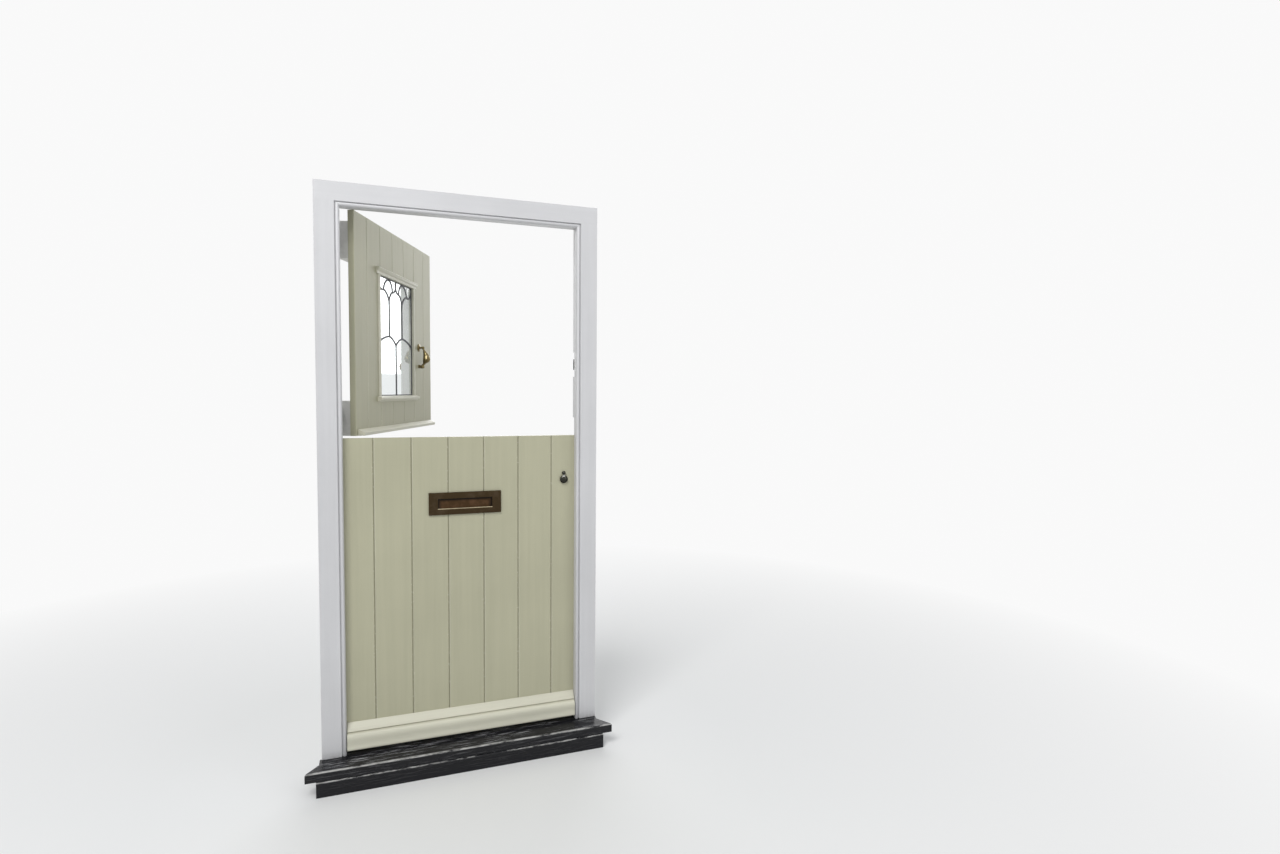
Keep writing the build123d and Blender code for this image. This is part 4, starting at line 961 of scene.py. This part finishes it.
class STABLEDOOR_OT_weather_board(bpy.types.Operator):
    """Mould the weather board: a sloping top, a quirk, a roll with a hollow and a throat below"""

    bl_idname = "stabledoor.weather_board"
    bl_label = "Weather board"

    def execute(self, context):
        piece = moulded_length("weather_board_moulded", WEATHER_LENGTH, WEATHER_PROFILE)
        edit_all(piece)
        bpy.ops.mesh.bisect(
            plane_co=(WEATHER_LENGTH / 2, 0, 0), plane_no=(WEATHER_PROUD, -END_SPLAY, 0),
            use_fill=True, clear_outer=True,
        )
        bpy.ops.object.mode_set(mode="OBJECT")
        throat = (0, -0.0235, WEATHER_PROFILE[0][0])
        cut(piece, slab("throat", (2 * WEATHER_LENGTH, 0.004, 0.006), throat, 0.0015))
        place = LOWER.matrix @ Matrix.Translation((LEAF_WIDTH / 2, 0, 0))
        finish_piece(piece, place, "lower_leaf", "moulding_lower")
        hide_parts("weather_board")
        return {"FINISHED"}


class STABLEDOOR_OT_hinge_pins(bpy.types.Operator):
    """Cap the four hinge pins"""

    bl_idname = "stabledoor.hinge_pins"
    bl_label = "Hinge pins"

    def execute(self, context):
        rings = (
            (0.0193, 0.0082), (0.0203, 0.0088), (0.0214, 0.0084), (0.0220, 0.0066),
            (0.0242, 0.0064), (0.0256, 0.0052), (0.0264, 0.0034), (0.0267, 0.0012),
        )
        cap = turned("hinge_pin_cap", rings, context.scene.stable_metal.segments)
        pin = Vector(JOINTS["lower_leaf_swing"]["pos_m"])
        places = [Matrix.Translation((pin.x, pin.y, height)) for height in hinge_heights()]
        scatter(cap, "hinge_pin_caps", places, "frame", "iron")
        return {"FINISHED"}


class STABLEDOOR_OT_screws(bpy.types.Operator):
    """Set the slotted screws in the hook plates, keeps, cases and the bolt's plate"""

    bl_idname = "stabledoor.screws"
    bl_label = "Screws"

    def execute(self, context):
        radius = context.scene.stable_metal.screw
        iron = ("iron", "black_iron")
        into_room = Matrix.Rotation(-pi / 2, 4, "X")
        pin = JOINTS["lower_leaf_swing"]["pos_m"][0]
        offset, rises = HOOK_SCREWS
        hooks = [
            Matrix.Translation((pin + offset, JAMB_INNER_FACE, height + rise)) @ into_room
            for height in hinge_heights()
            for rise in rises
        ]
        screw_group("hook_plate_screws", hooks, radius, 0.0018, "frame", *iron)
        keeps = []
        for node, rise in KEEP_SCREWS.items():
            low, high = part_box(node)
            middle = (low + high) / 2
            keeps += [
                Matrix.Translation((middle.x, high.y, middle.z + side * rise)) @ into_room
                for side in (-1, 1)
            ]
        screw_group("keep_screws", keeps, radius * 0.7, 0.0012, "frame", *iron)
        lock = self.case_corners(LOWER, LOCK_SCREWS, KEYHOLE[1])
        screw_group("lock_case_screws", lock, radius * 0.8, 0.0014, "lower_leaf", *iron)
        latch = self.case_corners(UPPER, LATCH_SCREWS, LATCH_KNOB[1])
        latch += [UPPER.spot(u, BOLT_FACE, v, "in") for u in BOLT_SCREWS[0] for v in BOLT_SCREWS[1]]
        screw_group("latch_case_screws", latch, radius * 0.8, 0.0014, "upper_leaf", *iron)
        return {"FINISHED"}

    def case_corners(self, leaf, screws, middle):
        """Places of a rim case's four screws."""
        edges, rise = screws
        return [
            leaf.spot(u, CASE_FACE, middle + side * rise, "in") for u in edges for side in (-1, 1)
        ]


class STABLEDOOR_OT_nails(bpy.types.Operator):
    """Drive the painted nails through the ledges, two to a board"""

    bl_idname = "stabledoor.nails"
    bl_label = "Ledge nails"

    def execute(self, context):
        rings = (
            (-0.0006, 0.0046), (0.0002, 0.0045), (0.0009, 0.0036), (0.0012, 0.0022),
            (0.0013, 0.0008),
        )
        for leaf, key, rows in (
            (LOWER, "lower", LOWER_NAIL_ROWS),
            (UPPER, "upper", UPPER_NAIL_ROWS),
        ):
            places = [
                leaf.spot(u, LEAF_THICKNESS, v, "in")
                for v in rows
                for u in BOARD_MIDDLES
                if not (v == LOCK_ROW and u > LOCK_START)
            ]
            nail = turned("ledge_nail", rings, 16)
            body, finish = f"{key}_leaf", f"inner_{key}"
            scatter(nail, f"{key}_ledge_nails", places, body, finish)
        return {"FINISHED"}


class STABLEDOOR_OT_solder(bpy.types.Operator):
    """Drop solder on the crossings of the lead cames, on both sides of the glass"""

    bl_idname = "stabledoor.solder"
    bl_label = "Solder joints"

    def execute(self, context):
        crossings = [
            (0.5, 0.56), (0.0, 0.56), (1.0, 0.56), (0.5, 0.99), (0.5, 0.01), (0.01, 0.01),
            (0.99, 0.01),
        ]
        for stem in (0.31, 0.69):
            outer = 0 if stem < 0.5 else 1
            crossings += [(stem, 0.2), (stem, 0.49), (stem, 0.012)]
            crossings += [((stem + outer) / 2, 0.104), ((stem + 0.5) / 2, 0.104)]
        places = []
        for across, down in crossings:
            u = LIGHT_LEFT + min(max(across, 0.014), 0.986) * LIGHT_WIDTH
            v = LIGHT_TOP - down * LIGHT_HEIGHT
            places.append(UPPER.spot(u, CAME_OUTER, v))
            places.append(UPPER.spot(u, CAME_INNER, v, "in"))
        rings = (
            (-0.0004, 0.0048), (0.0002, 0.0047), (0.0006, 0.0038), (0.0009, 0.0022),
            (0.0010, 0.0008),
        )
        drop = turned("solder", rings, 16)
        scatter(drop, "solder_joints", places, "upper_leaf", "lead")
        return {"FINISHED"}


class STABLEDOOR_OT_stage(bpy.types.Operator):
    """Set the pale floor, the soft lamps, the world and the camera"""

    bl_idname = "stabledoor.stage"
    bl_label = "Studio"

    def execute(self, context):
        scene = context.scene
        scene.view_settings.view_transform = "Standard"
        self.floor()
        self.world(scene)
        for name, (place, size, power) in LAMPS.items():
            self.lamp(name, place, size, power)
        self.camera(scene)
        return {"FINISHED"}

    def floor(self):
        """A pale floor that the camera sees as white as the world behind it, far from the door."""
        clear_selection()
        bpy.ops.mesh.primitive_plane_add(size=FLOOR_SIZE, location=(0, 0, 0))
        floor = bpy.context.object
        floor.name = "floor"
        pale = Finish("pale_floor")
        pale.set(base_color=(*FLOOR_GREY, 1), roughness=0.9, specular_ior_level=0.1)
        far = pale.vector_math("LENGTH", pale.place, output="Value")
        share = pale.product(pale.in_sight(), pale.ramp(far, FADE_START, FADE_END))
        white = pale.add("ShaderNodeEmission", {"Color": (*STUDIO_WHITE, 1), "Strength": 1.0})
        shaders = {"Fac": share, 1: pale.shader.outputs[0], 2: white.outputs[0]}
        faded = pale.add("ShaderNodeMixShader", shaders).outputs[0]
        pale.tree.links.new(faded, pale.tree.nodes["Material Output"].inputs["Surface"])
        floor.data.materials.append(pale.material)

    def world(self, scene):
        """Soft grey light from all round, seen by the camera and by gloss as white."""
        scene.world = scene.world or bpy.data.worlds.new("studio")
        scene.world.use_nodes = True
        scene.world.node_tree.nodes.clear()
        studio = Nodes(scene.world.node_tree)
        values = {"Color": (*STUDIO_LIGHT, 1), "Strength": WORLD_STRENGTH}
        light = studio.add("ShaderNodeBackground", values).outputs[0]
        values = {"Color": (*STUDIO_WHITE, 1), "Strength": 1.0}
        white = studio.add("ShaderNodeBackground", values).outputs[0]
        shaders = {"Fac": studio.in_sight(), 1: light, 2: white}
        surface = studio.add("ShaderNodeMixShader", shaders).outputs[0]
        studio.add("ShaderNodeOutputWorld", {"Surface": surface})

    def lamp(self, name, place, size, power):
        bpy.ops.object.light_add(type="AREA", location=place)
        lamp = bpy.context.object
        lamp.name = name
        lamp.data.shape = "SQUARE"
        lamp.data.size = size
        lamp.data.energy = power
        aim = Vector(LAMP_AIM) - Vector(place)
        lamp.rotation_euler = aim.to_track_quat("-Z", "Y").to_euler()

    def camera(self, scene):
        """The photograph's place and lens, turned to the right, dipped and slightly rolled."""
        bpy.ops.object.camera_add(location=CAMERA_PLACE)
        camera = bpy.context.object
        turn = Matrix.Rotation(radians(CAMERA_TURN), 4, "Z")
        dip = Matrix.Rotation(radians(90 - CAMERA_DIP), 4, "X")
        roll = Matrix.Rotation(radians(CAMERA_ROLL), 4, "Z")
        camera.rotation_euler = (turn @ dip @ roll).to_euler()
        camera.data.sensor_fit = "HORIZONTAL"
        camera.data.sensor_width = SENSOR_WIDTH
        camera.data.lens = CAMERA_LENS
        scene.camera = camera


class STABLEDOOR_PT_panel(bpy.types.Panel):
    """Lists the pieces of the stable door"""

    bl_idname = "STABLEDOOR_PT_panel"
    bl_label = "Stable Door"
    bl_space_type = "VIEW_3D"
    bl_region_type = "UI"
    bl_category = "Stable Door"

    def draw(self, context):
        for settings in (context.scene.stable_paint, context.scene.stable_metal):
            for key in settings.__annotations__:
                self.layout.prop(settings, key)
        for operator in OPERATORS:
            self.layout.operator(operator.bl_idname)


OPERATORS = (
    STABLEDOOR_OT_finishes,
    STABLEDOOR_OT_knocker,
    STABLEDOOR_OT_knob,
    STABLEDOOR_OT_keyhole,
    STABLEDOOR_OT_letter_plate,
    STABLEDOOR_OT_weather_board,
    STABLEDOOR_OT_hinge_pins,
    STABLEDOOR_OT_screws,
    STABLEDOOR_OT_nails,
    STABLEDOOR_OT_solder,
    STABLEDOOR_OT_stage,
)
CLASSES = (PaintSettings, MetalSettings, *OPERATORS, STABLEDOOR_PT_panel)


def register():
    for made in CLASSES:
        bpy.utils.register_class(made)
    bpy.types.Scene.stable_paint = PointerProperty(type=PaintSettings)
    bpy.types.Scene.stable_metal = PointerProperty(type=MetalSettings)


def unregister():
    del bpy.types.Scene.stable_metal
    del bpy.types.Scene.stable_paint
    for made in reversed(CLASSES):
        bpy.utils.unregister_class(made)


def main():
    register()
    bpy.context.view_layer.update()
    bpy.ops.stabledoor.finishes()
    bpy.ops.stabledoor.knocker()
    bpy.ops.stabledoor.knob()
    bpy.ops.stabledoor.keyhole()
    bpy.ops.stabledoor.letter_plate()
    bpy.ops.stabledoor.weather_board()
    bpy.ops.stabledoor.hinge_pins()
    bpy.ops.stabledoor.screws()
    bpy.ops.stabledoor.nails()
    bpy.ops.stabledoor.solder()
    bpy.ops.stabledoor.stage()


if __name__ == "__main__":
    main()
